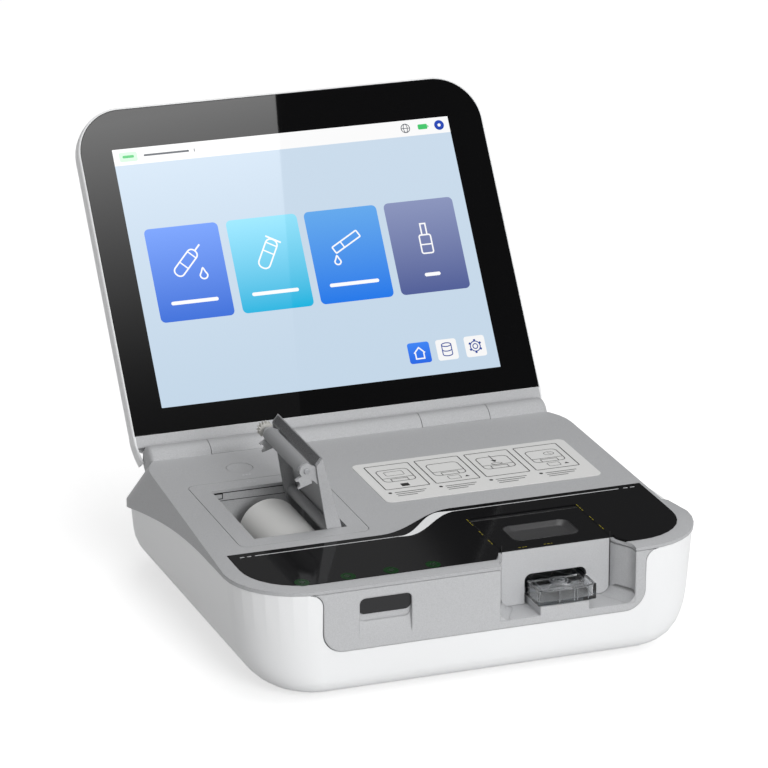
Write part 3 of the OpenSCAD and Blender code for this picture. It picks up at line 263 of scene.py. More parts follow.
dishPlastic = surface("dishPlastic", linear(66, 66, 67), grain=1600, speckle=0.12, rough=0.34, depth=0.00001)
darkGap = surface("darkGap", linear(14, 14, 15), grain=900, speckle=0.3, rough=0.7, edge=0)
smokedPlastic = surface("smokedPlastic", linear(150, 152, 155), grain=700, speckle=0.25, rough=0.16,
                        depth=0.00001)


# two finishes on one moulding: a mask over the piece's own coordinates picks the second one
def along(tree, direction, origin):
    away = tree.nodes.new("ShaderNodeVectorMath")
    away.operation = "SUBTRACT"
    away.inputs[1].default_value = origin
    tree.links.new(objectPoint(tree), away.inputs[0])
    part = tree.nodes.new("ShaderNodeVectorMath")
    part.operation = "DOT_PRODUCT"
    part.inputs[1].default_value = direction
    tree.links.new(away.outputs[0], part.inputs[0])
    return part.outputs["Value"]


def secondColour(m, colour, mask, gloss=None):
    tree = m.node_tree
    shader = tree.nodes["Principled BSDF"]
    for label, value in (("Base Color", colour), ("Roughness", gloss)):
        if value is None:
            continue
        first = shader.inputs[label].links[0].from_socket
        n = tree.nodes.new("ShaderNodeMix")
        tree.links.new(mask, n.inputs[0])
        if label == "Base Color":
            n.data_type = "RGBA"
            tree.links.new(first, n.inputs[6])
            n.inputs[7].default_value = value
            tree.links.new(n.outputs[2], shader.inputs[label])
        else:
            tree.links.new(first, n.inputs[2])
            n.inputs[3].default_value = value
            tree.links.new(n.outputs[0], shader.inputs[label])


# in mm: where the bezel turns white, up the lid and sideways, and where the cover's top strip is black
whiteFrom = {"up": 16.7, "side": 125.6}
blackStrip = {"above": -3.6, "behind": -158.5, "gloss": 0.3}
lean, slope = math.radians(lid["lean"]), math.radians(deck["slope"])
bezelPlastic = surface("bezelPlastic", linear(181, 182, 184), grain=1700, speckle=0.5, rough=0.5, spread=0.2,
                       depth=0.00003)
tree = bezelPlastic.node_tree
upLid = along(tree, (0, math.sin(lean), math.cos(lean)), (0, hingeY * mm, lid["axisZ"] * mm))
sideways = mathNode(tree, "ABSOLUTE", along(tree, (1, 0, 0), (0, 0, 0)), None)
outer = mathNode(tree, "MAXIMUM", mathNode(tree, "GREATER_THAN", upLid, whiteFrom["up"] * mm),
                 mathNode(tree, "GREATER_THAN", sideways, whiteFrom["side"] * mm))
secondColour(bezelPlastic, linear(245, 246, 247), outer)
coverPlastic = surface("coverPlastic", linear(190, 191, 193), grain=1700, speckle=0.42, rough=0.48,
                       spread=0.2, depth=0.00003)
tree = coverPlastic.node_tree
upDeck = along(tree, (0, -math.sin(slope), math.cos(slope)), (0, hingeY * mm, deck["height"] * mm))
backDeck = along(tree, (0, math.cos(slope), math.sin(slope)), (0, hingeY * mm, deck["height"] * mm))
strip = mathNode(tree, "MULTIPLY", mathNode(tree, "GREATER_THAN", upDeck, blackStrip["above"] * mm),
                 mathNode(tree, "GREATER_THAN", backDeck, blackStrip["behind"] * mm))
secondColour(coverPlastic, linear(26, 26, 27), strip, blackStrip["gloss"])
print("finishes made:", len(bpy.data.materials))

finish = {
    whiteSatin: ["bottom_shell", "rear_cover", "battery_door"],
    greyPlastic: ["top_housing", "lid_knuckles", "printer_button", "paper_door", "printer_frame"],
    palePlastic: ["front_panel"],
    bezelPlastic: ["lid_bezel"],
    coverPlastic: ["module_cover"],
    pianoBlack: ["control_fascia", "cover_fascia"],
    displayGlass: ["cover_glass"],
    smokedWindow: ["scan_window"],
    innerGrey: ["button_switch", "press_guides", "pump_housing"],
    darkPlastic: ["scan_engine", "switch_housing", "power_rocker", "power_jack", "fan_housing", "fan_rotor",
                  "speaker", "print_head", "lcd_panel"],
    blackRubber: ["rubber_feet"],
    platenRubber: ["platen_roller"],
    steel: ["cover_hinge_bracket", "cover_hinge_pins", "hinge_brackets", "hinge_shafts", "door_pin",
            "platen_shaft", "idler_axle", "tear_bar", "printer_motor"],
    blackScrew: ["case_screws", "battery_door_screws", "lid_screws"],
    machinedAlloy: ["measuring_block", "contact_head"],
    bearingBronze: ["hinge_bushes"],
    gearNylon: ["platen_gear", "idler_gear", "motor_pinion", "pump_rotor"],
    solderMask: ["main_board", "power_board", "port_board", "light_board", "lid_board"],
    shrinkFilm: ["battery_pack"],
    rolledPaper: ["paper_roll"],
    greyCard: ["roll_core"],
    labelFilm: ["instruction_label"],
    lampLens: ["status_lights"],
    sensorCoat: ["sensor_chip"],
    clearShell: ["cartridge_shell"],
}
for look, names in finish.items():
    for n in names:
        slots = nodes[n].material_slots
        if not slots:
            nodes[n].data.materials.append(look)
        for s in slots:
            s.material = look
bare = sorted(set(nodes) - {n for names in finish.values() for n in names})
print("nodes without a finish:", bare)


# mesh makers
def putMesh(name, verts, faces, look, smooth=True):
    mesh = bpy.data.meshes.new(name)
    mesh.from_pydata(np.asarray(verts, float).tolist(), [], [tuple(int(i) for i in f) for f in faces])
    mesh.validate()
    mesh.materials.append(look)
    if smooth:
        mesh.shade_smooth()
    piece = bpy.data.objects.new(name, mesh)
    bpy.context.scene.collection.objects.link(piece)
    return piece


def solidify(piece, thickness, offset=0.0):
    wall = piece.modifiers.new("wall", "SOLIDIFY")
    wall.thickness = thickness
    wall.offset = offset
    return piece


def placed(piece, body, wall=None, offset=0.0):
    # the last steps of a new piece: a wall if it needs one and the body it rides on
    if wall:
        solidify(piece, wall, offset)
    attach(piece, body)


def ringFaces(rows, cols):
    # quads between neighbouring closed rings of points, and a cap over the first ring and the last
    i, j = np.meshgrid(np.arange(rows - 1), np.arange(cols), indexing="ij")
    k = (j + 1) % cols
    quads = np.stack([i * cols + j, i * cols + k, (i + 1) * cols + k, (i + 1) * cols + j], -1)
    return quads.reshape(-1, 4).tolist(), list(range(cols))[::-1], list(range((rows - 1) * cols, rows * cols))


def mirrorPair(verts, faces):
    # the same closed solid on both sides of the middle plane
    return np.vstack([verts, verts * [-1, 1, 1]]), faces + [[i + len(verts) for i in q[::-1]] for q in faces]


lidShape = {"half": 127.2, "top": 216.0, "round": 29.0, "lip": 1.3, "bend": 17.0, "draw": 2.9}


def lidSide(v):
    # half width of the lid at height v: straight, then drawn in as a parabola towards its foot
    fall = np.clip((lidShape["bend"] - v) / lidShape["bend"], 0, 1.2)
    return lidShape["half"] - lidShape["draw"] * fall ** 2


def reshapeLid(node, points):
    # points in metres: the glass keeps a lip inside the edge, and the other covers follow the drawn-in foot
    p = points / mm
    back, up = p[:, 1] - hingeY, p[:, 2] - lid["axisZ"]
    a = math.radians(lid["lean"])
    x, b, v = p[:, 0].copy(), back * math.cos(a) - up * math.sin(a), back * math.sin(a) + up * math.cos(a)
    if node == "cover_glass":
        flat, ceiling = lidShape["half"] - lidShape["round"], lidShape["top"] - lidShape["round"]
        dx, dv = np.maximum(np.abs(x) - flat, 0) * np.sign(x), np.maximum(v - ceiling, 0)
        reach = np.hypot(dx, dv)
        shrink = np.where(reach > lidShape["round"] - 0.4, lidShape["lip"] / np.maximum(reach, 1e-6), 0)
        x, v = x - dx * shrink, v - dv * shrink
    else:
        limit = lidSide(v) - 0.2 * (v < lidShape["bend"])
        x = np.clip(x, -limit, limit)
    return lidPoints(x, b, v)


def finerSkin(node, body, angle=32.0):
    # a merged copy of a CAD solid with smooth curved faces; flat faces keep their weight in the normals
    made = bmesh.new()
    made.from_mesh(nodes[node].data)
    bmesh.ops.remove_doubles(made, verts=made.verts, dist=2e-6)
    bmesh.ops.dissolve_degenerate(made, edges=made.edges, dist=1e-6)
    mesh = bpy.data.meshes.new(node + "Skin")
    made.to_mesh(mesh)
    made.free()
    for layer in ("custom_normal", "sharp_edge", "sharp_face"):    # the import's normals don't fit any more
        if layer in mesh.attributes:
            mesh.attributes.remove(mesh.attributes[layer])
    if node in ("cover_glass", "lid_bezel", "rear_cover"):
        spots = np.zeros(len(mesh.vertices) * 3)
        mesh.vertices.foreach_get("co", spots)
        mesh.vertices.foreach_set("co", reshapeLid(node, spots.reshape(-1, 3)).ravel())
        mesh.update()
    mesh.shade_smooth()
    mesh.set_sharp_from_angle(angle=math.radians(angle))
    mesh.materials.append(nodes[node].material_slots[0].material)
    piece = bpy.data.objects.new(node + "Skin", mesh)
    bpy.context.scene.collection.objects.link(piece)
    even = piece.modifiers.new("even", "WEIGHTED_NORMAL")
    even.keep_sharp = True
    even.weight = 80
    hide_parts(node)
    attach(piece, body)


skins = {"bottom_shell": "base", "top_housing": "base", "front_panel": "base", "control_fascia": "base",
         "printer_frame": "base", "rubber_feet": "base", "printer_button": "button", "rear_cover": "lid",
         "lid_bezel": "lid", "lid_knuckles": "lid", "cover_glass": "lid", "module_cover": "module_cover",
         "cover_fascia": "module_cover", "paper_door": "paper_door", "platen_roller": "platen",
         "platen_shaft": "platen"}
for n, b in skins.items():
    finerSkin(n, b)
print("curved CAD skins smoothed:", len(skins))


# flat print: outlines in two coordinates, placed on the glass or on the deck
def roundRing(x0, y0, x1, y1, r, steps=7):
    # corners of a rounded rectangle: four quarter circles of radius r
    quarter = math.pi / 2
    a = np.linspace(0, quarter, steps)
    centres = [(x1 - r, y1 - r, 0), (x0 + r, y1 - r, 1), (x0 + r, y0 + r, 2), (x1 - r, y0 + r, 3)]
    return np.concatenate([np.stack([cx + r * np.cos(a + q * quarter), cy + r * np.sin(a + q * quarter)], -1)
                           for cx, cy, q in centres])


def ovalRing(cx, cy, rx, ry, steps=36, start=0.0, turn=2 * math.pi):
    t = start + np.arange(steps) / steps * turn
    return np.stack([cx + rx * np.cos(t), cy + ry * np.sin(t)], -1)


def filled(ring):
    # a fan from the ring's middle
    ring = np.asarray(ring, float)
    k = np.arange(len(ring))
    return np.vstack([ring.mean(0), ring]), np.stack([0 * k, k + 1, (k + 1) % len(ring) + 1], -1)


def filledBox(x0, y0, x1, y1, r, steps=7):
    return filled(roundRing(x0, y0, x1, y1, r, steps))


def stroke(path, width, closed=False):
    # a strip whose sides are the path moved by half its width along mitred normals
    p = np.asarray(path, float)
    if closed:
        before, after = np.roll(p, 1, 0), np.roll(p, -1, 0)
    else:
        before, after = np.vstack([2 * p[0] - p[1], p[:-1]]), np.vstack([p[1:], 2 * p[-1] - p[-2]])
    d1 = (p - before) / np.linalg.norm(p - before, axis=1, keepdims=True)
    d2 = (after - p) / np.linalg.norm(after - p, axis=1, keepdims=True)
    n1 = np.stack([-d1[:, 1], d1[:, 0]], -1)
    n2 = np.stack([-d2[:, 1], d2[:, 0]], -1)
    n = n1 + n2
    n /= np.maximum((n * n1).sum(1, keepdims=True), 0.5)
    w = np.broadcast_to(np.asarray(width, float), (len(p),))[:, None] / 2
    count = len(p)
    k = np.arange(count if closed else count - 1)
    j = (k + 1) % count
    return np.vstack([p - n * w, p + n * w]), np.stack([k, j, j + count, k + count], -1)


def joined(parts):
    verts, faces, start = [], [], 0
    for v, f in parts:
        verts.append(v)
        faces += [tuple(q) for q in (np.asarray(f) + start)]
        start += len(v)
    return np.vstack(verts), faces


def printOnGlass(name, parts, look, lift):
    v, f = joined(parts)
    piece = putMesh(name, lidPoints(v[:, 0], lid["glassDepth"] - lift, v[:, 1]), f, look, smooth=False)
    piece.visible_glossy = False     # the lit picture tints neither the deck nor its gloss
    piece.visible_diffuse = False
    placed(piece, "lid", 0.00002)


def printOnDeck(name, parts, look, lift, body="base"):
    v, f = joined(parts)
    piece = putMesh(name, deckPoints(v[:, 0], v[:, 1], deck["skin"] + lift), f, look, smooth=False)
    placed(piece, body, 0.00003)


# the lit picture on the display, in millimetres across and up the lid
screen = {"left": -106.6, "right": 104.6, "low": 31.8, "high": 190.2, "bar": 180.1, "tileLow": 82.3,
          "tileHigh": 139.8, "tileRound": 3.0, "buttonLow": 39.8, "buttonHigh": 52.6, "buttonRound": 1.6,
          "lift": 0.05}
buttons = {"home": (49.1, 62.9), "bin": (67, 80), "gear": (85, 98)}
tileSpans = [(-97.0, -51.7), (-46.6, -2.5), (2.0, 47.8), (52.5, 96.4)]
tileLooks = [((45, 105, 215), (104, 152, 246)), ((0, 178, 222), (146, 226, 250)),
             ((24, 118, 232), (98, 168, 236)), ((78, 92, 150), (138, 148, 188))]
lift = screen["lift"]


def glowBetween(name, low, high, vLow, vHigh):
    # a lit picture whose colour runs from low to high between two heights on the glass, given up the lid
    zLow, zHigh = (float(lidPoints(0, lid["glassDepth"], v)[2]) for v in (vLow, vHigh))
    return litPicture(name, linear(*low), linear(*high), zLow, zHigh)


def buttonBox(name):
    a, b = buttons[name]
    return filledBox(a, screen["buttonLow"], b, screen["buttonHigh"], screen["buttonRound"])


back = glowBetween("displayBack", (195, 214, 231), (202, 219, 235), screen["low"], screen["high"])
whole = filledBox(screen["left"], screen["low"], screen["right"], screen["high"], 0.4, 3)
printOnGlass("displayBack", [whole], back, lift)
paleLight = glowBetween("paleLight", (246, 246, 246), (250, 250, 250), 100, 190)
topBar = filledBox(screen["left"], screen["bar"], screen["right"], screen["high"], 0.2, 3)
printOnGlass("displayBar", [topBar, buttonBox("bin"), buttonBox("gear")], paleLight, lift * 2)
for k, ((a, b), (low, high)) in enumerate(zip(tileSpans, tileLooks)):
    glow = glowBetween(f"tileLight{k}", low, high, screen["tileLow"], screen["tileHigh"])
    tile = filledBox(a, screen["tileLow"], b, screen["tileHigh"], screen["tileRound"])
    printOnGlass(f"displayTile{k}", [tile], glow, lift * 2)
blueLight = glowBetween("blueLight", (28, 98, 226), (60, 132, 244), 39, 53)
printOnGlass("displayHome", [buttonBox("home")], blueLight, lift * 2)


def dropRing(cx, cy, r, steps=28):
    # a drop: its upper half is r(1 - 0.25 s) wide and r(1 + 0.9 s^6) high, s the sine of the angle
    t = np.arange(steps) / steps * 2 * math.pi
    s = np.clip(np.sin(t), 0, 1)
    return np.stack([cx + r * np.cos(t) * (1 - 0.25 * s), cy + r * np.sin(t) * (1 + 0.9 * s ** 6)], -1)


def turned(path, cx, cy, degrees):
    a = math.radians(degrees)
    p = np.asarray(path, float)
    return np.stack([cx + p[:, 0] * math.cos(a) - p[:, 1] * math.sin(a),
                     cy + p[:, 0] * math.sin(a) + p[:, 1] * math.cos(a)], -1)


def tubeSign(cx, cy, degrees, length, width, level):
    # a round-ended tube with a level line and a cap line, all as strokes
    body = turned(roundRing(-width / 2, -length / 2, width / 2, length / 2, width * 0.45), cx, cy, degrees)
    parts = [stroke(body, 0.9, True)]
    for h in (level, length / 2 - 3.2):
        parts.append(stroke(turned([(-width / 2, h), (width / 2, h)], cx, cy, degrees), 0.8))
    return parts


whiteLight = glowBetween("whiteLight", (250, 251, 252), (255, 255, 255), 80, 140)
signs = []
middle = [(a + b) / 2 for a, b in tileSpans]
probe, vial, strip, dropper = middle
signs += tubeSign(probe - 1, 117, -45, 19, 6.4, -2)
signs.append(stroke(turned([(0, 9.5), (0, 14.5)], probe - 1, 117, -45), 1.0))
signs.append(stroke(dropRing(probe + 8.5, 108.5, 2.3), 0.9, True))
signs += tubeSign(vial, 117, -30, 19, 7.2, 1)
signs.append(stroke(turned([(-5, 9.8), (5, 9.8)], vial, 117, -30), 1.0))
signs += [stroke(turned(roundRing(-9.5, -2.2, 9.5, 2.2, 0.5, 3), strip, 119, 28), 0.9, True),
          stroke(turned([(-3, -2.2), (-3, 2.2)], strip, 119, 28), 0.8),
          stroke(dropRing(strip - 7.5, 107.5, 1.9), 0.9, True)]
neck = [(dropper - 1.6, 118), (dropper - 1.6, 125), (dropper + 1.6, 125), (dropper + 1.6, 118)]
signs += [stroke(roundRing(dropper - 3.6, 106.5, dropper + 3.6, 118, 1.2), 0.9, True), stroke(neck, 0.9),
          stroke([(dropper - 3.6, 112), (dropper + 3.6, 112)], 0.8)]
for c, half in zip(middle, (14.5, 14.5, 15.5, 5.0)):    # a plain bar under each tile's sign
    signs.append(filledBox(c - half, 92.2, c + half, 94.4, 1.05))
signs += [stroke([(52.6, 46.0), (56.0, 49.4), (59.4, 46.0)], 0.8),
          stroke([(53.4, 46.2), (53.4, 42.6), (58.6, 42.6), (58.6, 46.2)], 0.8)]
disc, gear, globe = (98.2, 185.2), (91.5, 46.2), (76.5, 185.2)
binSign = {"x": 73.5, "half": 3.0, "low": 43.4, "middle": 46.3, "high": 49.2}
signs.append(filled(ovalRing(*disc, 1.0, 1.0)))
printOnGlass("displaySigns", signs, whiteLight, lift * 3)
navyLight = glowBetween("navyLight", (36, 66, 150), (36, 66, 150), 30, 190)
sides = (binSign["x"] - binSign["half"], binSign["x"] + binSign["half"])
navy = [stroke(ovalRing(binSign["x"], binSign["high"], binSign["half"], 1.1), 0.6, True)]
navy += [stroke([(x, binSign["high"]), (x, binSign["low"])], 0.6) for x in sides]
navy += [stroke(ovalRing(binSign["x"], v, binSign["half"], 1.1, 18, math.pi, math.pi * 1.06), 0.6)
         for v in (binSign["middle"], binSign["low"])]
navy += [stroke(ovalRing(*gear, r, r), 0.6, True) for r in (1.5, 3.1)]
navy += [stroke(turned([(0, 3.1), (0, 4.3)], *gear, q * 60), 1.3) for q in range(6)]
printOnGlass("displayNavy", navy, navyLight, lift * 3)
discLight = glowBetween("discLight", (28, 62, 168), (34, 72, 186), 180, 190)
printOnGlass("displayDisc", [filled(ovalRing(*disc, 3.1, 3.1))], discLight, lift * 2.5)
greyLight = glowBetween("greyLight", (70, 76, 84), (70, 76, 84), 180, 190)
grey = [stroke(ovalRing(*globe, 2.7, 2.7), 0.45, True), stroke(ovalRing(*globe, 1.2, 2.7), 0.4, True),
        stroke([(globe[0] - 2.7, globe[1]), (globe[0] + 2.7, globe[1])], 0.4),
        filledBox(-88, 184.5, -60, 185.7, 0.5, 4), filledBox(-57, 184.2, -56.5, 186.2, 0.2, 2)]
printOnGlass("displayGlobe", grey, greyLight, lift * 3)
greenLight = glowBetween("greenLight", (60, 190, 100), (70, 204, 112), 180, 190)
charge = [filledBox(84.5, 183.6, 90.5, 186.8, 0.7), filledBox(90.7, 184.6, 91.3, 185.8, 0.2, 2),
          filledBox(-101.0, 184.4, -94.0, 186.0, 0.7)]
printOnGlass("displayCharge", charge, greenLight, lift * 3)
mintLight = glowBetween("mintLight", (206, 240, 214), (214, 244, 220), 180, 190)
printOnGlass("displayChip", [filledBox(-103.0, 182.2, -92.0, 188.0, 1.2)], mintLight, lift * 2.5)
print("display picture laid on the glass")

# guide pictures on the label: four frames with plain step drawings, dots and grey rules
label = {"first": -12.0, "pitch": 30.6, "width": 26.6, "front": -95.7, "back": -59.2, "lift": 0.09}
lines, rules = [], []
for k in range(4):
    x0 = label["first"] + k * label["pitch"]
    x1, y0, y1 = x0 + label["width"], label["front"], label["back"]
    cx, cy = (x0 + x1) / 2, (y0 + y1) / 2
    lines.append(stroke(roundRing(x0, y0, x1, y1, 1.0), 0.6, True))
    lines.append(filled(ovalRing(x0 + 0.6, -101.0, 1.1, 1.1)))
    for r, span in enumerate((19.0, 17.0, 12.0)):
        rules.append(filledBox(x0 + 3.2, -101.6 - r * 2.6, x0 + 3.2 + span, -100.8 - r * 2.6, 0.3, 3))
    device = turned(roundRing(-9.6, -8.5, 9.6, 9.5, 3.0), cx, cy + 1, 0)
    lines.append(stroke(device, 0.48, True))
    lines.append(stroke([(cx - 9.4, cy - 2.0), (cx + 9.4, cy - 2.0)], 0.42))
    slot = [(cx - 5, cy - 7.4), (cx - 5, cy - 3.6), (cx + 5, cy - 3.6), (cx + 5, cy - 7.4)]
    lines.append(stroke(slot, 0.46))
    if k == 0:
        lines.append(stroke(roundRing(cx - 5.5, cy + 1.5, cx + 5.5, cy + 7.5, 1.0), 0.3, True))
        lines.append(filledBox(cx - 2.4, cy - 15.8, cx + 2.4, cy - 11.6, 0.4, 3))
    if k in (1, 3):
        lines.append(stroke(roundRing(cx - 3.6, cy - 14.6, cx + 3.6, cy - 9.6, 0.8), 0.34, True))
        lines.append(filled(turned([(-1.4, 0), (1.4, 0), (0, 2.2)], cx + 7.5, cy - 13.5, 0)))
    if k == 2:
        lines.append(stroke([(cx, cy + 12.5), (cx, cy + 5)], 0.5))
        lines.append(filled(turned([(-1.7, 0), (1.7, 0), (0, -3.0)], cx, cy + 5, 0)))
        lines.append(stroke(ovalRing(cx, cy - 0.4, 3.2, 1.4), 0.34, True))
    if k == 3:
        lines.append(stroke(ovalRing(cx + 3.5, cy + 4.5, 3.0, 2.4), 0.34, True))
        lines.append(stroke([(cx + 3.5, cy + 6.0), (cx + 3.5, cy + 4.5), (cx + 5.0, cy + 3.8)], 0.3))
printOnDeck("labelDrawings", lines, inkPrint, label["lift"])
printOnDeck("labelRules", rules, greyPrint, label["lift"])
print("label drawings laid on the deck")

# the fascia's light line, its blade between two S curves, and the dashes
blade = {"upper": (-162.6, [(25.8, -29.0, 4.0), (-0.9, 4.0, 14.0)]),
         "lower": (-163.3, [(-0.5, -29.5, -24.0), (25.6, -25.0, 13.5)])}
band = {"left": -162.7, "right": -137.9, "from": -29.5, "to": 14.6, "thin": 0.75, "lift": 0.06,
        "drift": 0.3}


def easeBetween(x, a, b):
    # 0 before a, 1 after b, 3t^2 - 2t^3 between
    t = np.clip((x - a) / (b - a), 0, 1)
    return t * t * (3 - 2 * t)


def bladeEdge(x, start, steps):
    # the start plus each step's rise, eased in between the step's two ends
    return start + sum(rise * easeBetween(x, a, b) for rise, a, b in steps)


x = np.linspace(band["from"], band["to"], 70)
k = np.arange(len(x) - 1)
leaf = (np.vstack([np.stack([x, bladeEdge(x, *blade[name])], -1) for name in ("lower", "upper")]),
        np.stack([k, k + 1, k + 1 + len(x), k + len(x)], -1))
printOnDeck("fasciaBlade", [leaf], whitePrint, band["lift"])
far = band["right"] + band["drift"]
thin = [stroke([(-113.0, band["left"]), (band["from"] + 1, band["left"])], band["thin"]),
        stroke([(band["to"] - 1, band["right"]), (112.5, far)], band["thin"])]
thin += [stroke([(a, band["left"]), (a + 2.4, band["left"])], band["thin"]) for a in (-121.6, -117.6)]
thin += [stroke([(a, far), (a + 2.6, far)], band["thin"]) for a in (115.4, 119.6)]
printOnDeck("fasciaLine", thin, palePrint, band["lift"] * 0.8)
ovals = {"x": [-101.5, -75.2, -50.6, -26.3], "y": -206.4, "rx": 2.9, "ry": 3.4, "width": 2.5,
         "core": (1.1, 1.5), "lift": 0.05}
lenses = [stroke(ovalRing(x, ovals["y"], ovals["rx"], ovals["ry"]), ovals["width"], True) for x in ovals["x"]]
lenses += [filled(ovalRing(x, ovals["y"], *ovals["core"])) for x in ovals["x"]]
printOnDeck("fasciaOvals", lenses, greenPrint, ovals["lift"])
frameLines = {"x": (14.6, 80.6), "width": 0.45, "lift": 0.05,
              "spans": [(-151.8, -155.0), (-156.2, -158.4), (-159.4, -161.6), (-170.4, -173.0),
                        (-174.2, -176.4), (-184.0, -187.2), (-188.2, -190.6)]}
dashes = [stroke([(x, a), (x, b)], frameLines["width"])
          for x in frameLines["x"] for a, b in frameLines["spans"]]
printOnDeck("fasciaDashes", dashes, ochrePrint, frameLines["lift"])
key = {"bars": (-80.6, -79.3), "pitch": 1.9, "front": -46.8, "back": -45.4, "oval": (-80.2, -57.0),
       "dashes": (-56.2, -57.8), "lift": -0.14}
marks = []
for k in range(3):
    a, b = (x + key["pitch"] * k for x in key["bars"])
    marks.append(filledBox(a, key["front"], b, key["back"], 0.25, 3))
marks.append(stroke(ovalRing(*key["oval"], 1.1, 1.0), 0.35, True))
marks += [stroke([(-77.8, y), (-75.6, y)], 0.4) for y in key["dashes"]]
printOnDeck("buttonSigns", marks, palePrint, key["lift"])
print("fascia print laid on")


def turnedAlong(start, end, profile, steps=96):
    # radius r at distance s along the axis for each profile point, turned through a full circle
    start, end = np.asarray(start, float), np.asarray(end, float)
    axis = (end - start) / np.linalg.norm(end - start)
    side = np.cross(axis, [0, 0, 1.0]) if abs(axis[2]) < 0.9 else np.cross(axis, [1.0, 0, 0])
    side /= np.linalg.norm(side)
    up = np.cross(axis, side)
    s, r = np.asarray(profile, float).T
    t = np.arange(steps) / steps * 2 * math.pi
    ring = np.cos(t)[:, None] * side + np.sin(t)[:, None] * up
    verts = (start + s[:, None, None] * axis + r[:, None, None] * ring).reshape(-1, 3)
    return verts, [q[::-1] for q in ringFaces(len(s), steps)[0]]


def tidyNormals(piece, sharp=35.0):
    made = bmesh.new()
    made.from_mesh(piece.data)
    bmesh.ops.remove_doubles(made, verts=made.verts, dist=1e-7)
    bmesh.ops.recalc_face_normals(made, faces=made.faces)
    made.to_mesh(piece.data)
    made.free()
    piece.data.set_sharp_from_angle(angle=math.radians(sharp))
    return piece


# the barrel's rounded ends, which stay on the base
barrel = {"end": 120.8, "radius": 9.2, "reach": 2.5, "round": 3.4, "inner": 2.0}
caps = []
for side in (-1, 1):
    q = np.linspace(0, math.pi / 2, 10)
    cap = [(barrel["reach"] * math.sin(t), barrel["radius"] - barrel["round"] * (1 - math.cos(t))) for t in q]
    cap += [(barrel["reach"] + 0.02, barrel["inner"]), (barrel["reach"] + 0.02, 0.02)]
    start = lidPoints(side * barrel["end"], 0, 0) / mm
    caps.append(turnedAlong(start, start + np.array([side, 0, 0]), cap, 72))
v, f = joined(caps)
piece = putMesh("barrelCaps", v * mm, f, greyPlastic)
placed(tidyNormals(piece), "base", 0.0003, -1.0)


# the lid's white rim: a rounded section carried round the glass, and deeper at the two lower corners
def sweptBand(path, section):
    # each section corner (inwards, depth) is carried along a clockwise path with the path's own normal
    p = np.asarray(path, float)
    t = np.gradient(p, axis=0)
    t /= np.linalg.norm(t, axis=1, keepdims=True)
    n = np.stack([t[:, 1], -t[:, 0]], -1)
    s = np.asarray(section, float)
    x = p[:, None, 0] + n[:, None, 0] * s[None, :, 0]
    v = p[:, None, 1] + n[:, None, 1] * s[None, :, 0]
    b = np.broadcast_to(s[None, :, 1], x.shape)
    faces, first, last = ringFaces(*x.shape)
    return np.stack([x.ravel(), b.ravel(), v.ravel()], -1), faces + [first, last]


rim = {"glassFoot": 16.8, "foot": 0.6, "front": 3.85, "back": 8.95, "cornerBack": 12.8, "proud": 0.12}
t = np.linspace(0, math.pi / 2, 22)
half, ceiling, r = lidShape["half"], lidShape["top"] - lidShape["round"], lidShape["round"]
leftArc = np.stack([-(half - r) - r * np.cos(t), ceiling + r * np.sin(t)], -1)
rightArc = np.stack([(half - r) + r * np.sin(t), ceiling + r * np.cos(t)], -1)
rise = np.linspace(rim["glassFoot"], ceiling, 12)[:-1]
around = np.vstack([np.stack([0 * rise - half, rise], -1), leftArc, rightArc,
                    np.stack([0 * rise + half, rise[::-1]], -1)])
lip, f0, b0, g = lidShape["lip"] - 0.05, rim["front"], rim["back"], rim["proud"]
bead = [(lip, f0), (0.75, f0 + 0.06), (0.35, f0 + 0.4), (0.1, f0 + 1.0), (-g * 0.6, f0 + 2.0), (-g, f0 + 3.2),
        (-g, b0), (lip, b0)]
v, f = sweptBand(around, bead)
piece = putMesh("lidRim", lidPoints(v[:, 0], v[:, 1], v[:, 2]), f, whiteSatin)
placed(tidyNormals(piece, 50), "lid")
fall = np.linspace(rim["foot"], rim["glassFoot"] - 0.02, 18)
end = rim["cornerBack"]
deep = bead[:6] + [(-g, end - 0.7), (0.3, end), (lip - 0.3, end), (lip, end - 0.5)]
v, f = sweptBand(np.stack([-lidSide(fall), fall], -1), deep)
both, f = mirrorPair(v, f)
piece = putMesh("lidCorners", lidPoints(both[:, 0], both[:, 1], both[:, 2]), f, whiteSatin)
placed(tidyNormals(piece, 50), "lid")

# rounded feet of the bay's side walls: a solid concave quarter circle along each wall's S curve
foot = {"x": 47.8, "mouth": 39.8, "back": 32.3, "front": -219.38, "rear": -201.15, "floor": 33.5,
        "round": 6.5, "seat": 0.25, "sunk": 0.3}
u = np.linspace(0, 1, 18)
wall = foot["mouth"] + (foot["back"] - foot["mouth"]) * easeBetween(u, 0, 1) + foot["seat"]
depth = foot["front"] + (foot["rear"] - foot["front"]) * u
t = np.linspace(0, math.pi / 2, 10)
ax = np.concatenate([-foot["round"] + foot["round"] * np.cos(t), [-foot["round"], 0.0]])
az = np.concatenate([foot["round"] - foot["round"] * np.sin(t), [-foot["sunk"], -foot["sunk"]]])
x = wall[:, None] + ax[None, :]
v = np.stack([x.ravel(), np.repeat(depth, len(ax)), np.tile(az, len(u))], -1)
f, first, last = ringFaces(*x.shape)
both, f = mirrorPair(v, f + [first, last])
piece = putMesh("bayFeet", (both + [foot["x"], hingeY, foot["floor"]]) * mm, f, palePlastic)
placed(tidyNormals(piece, 40), "base")

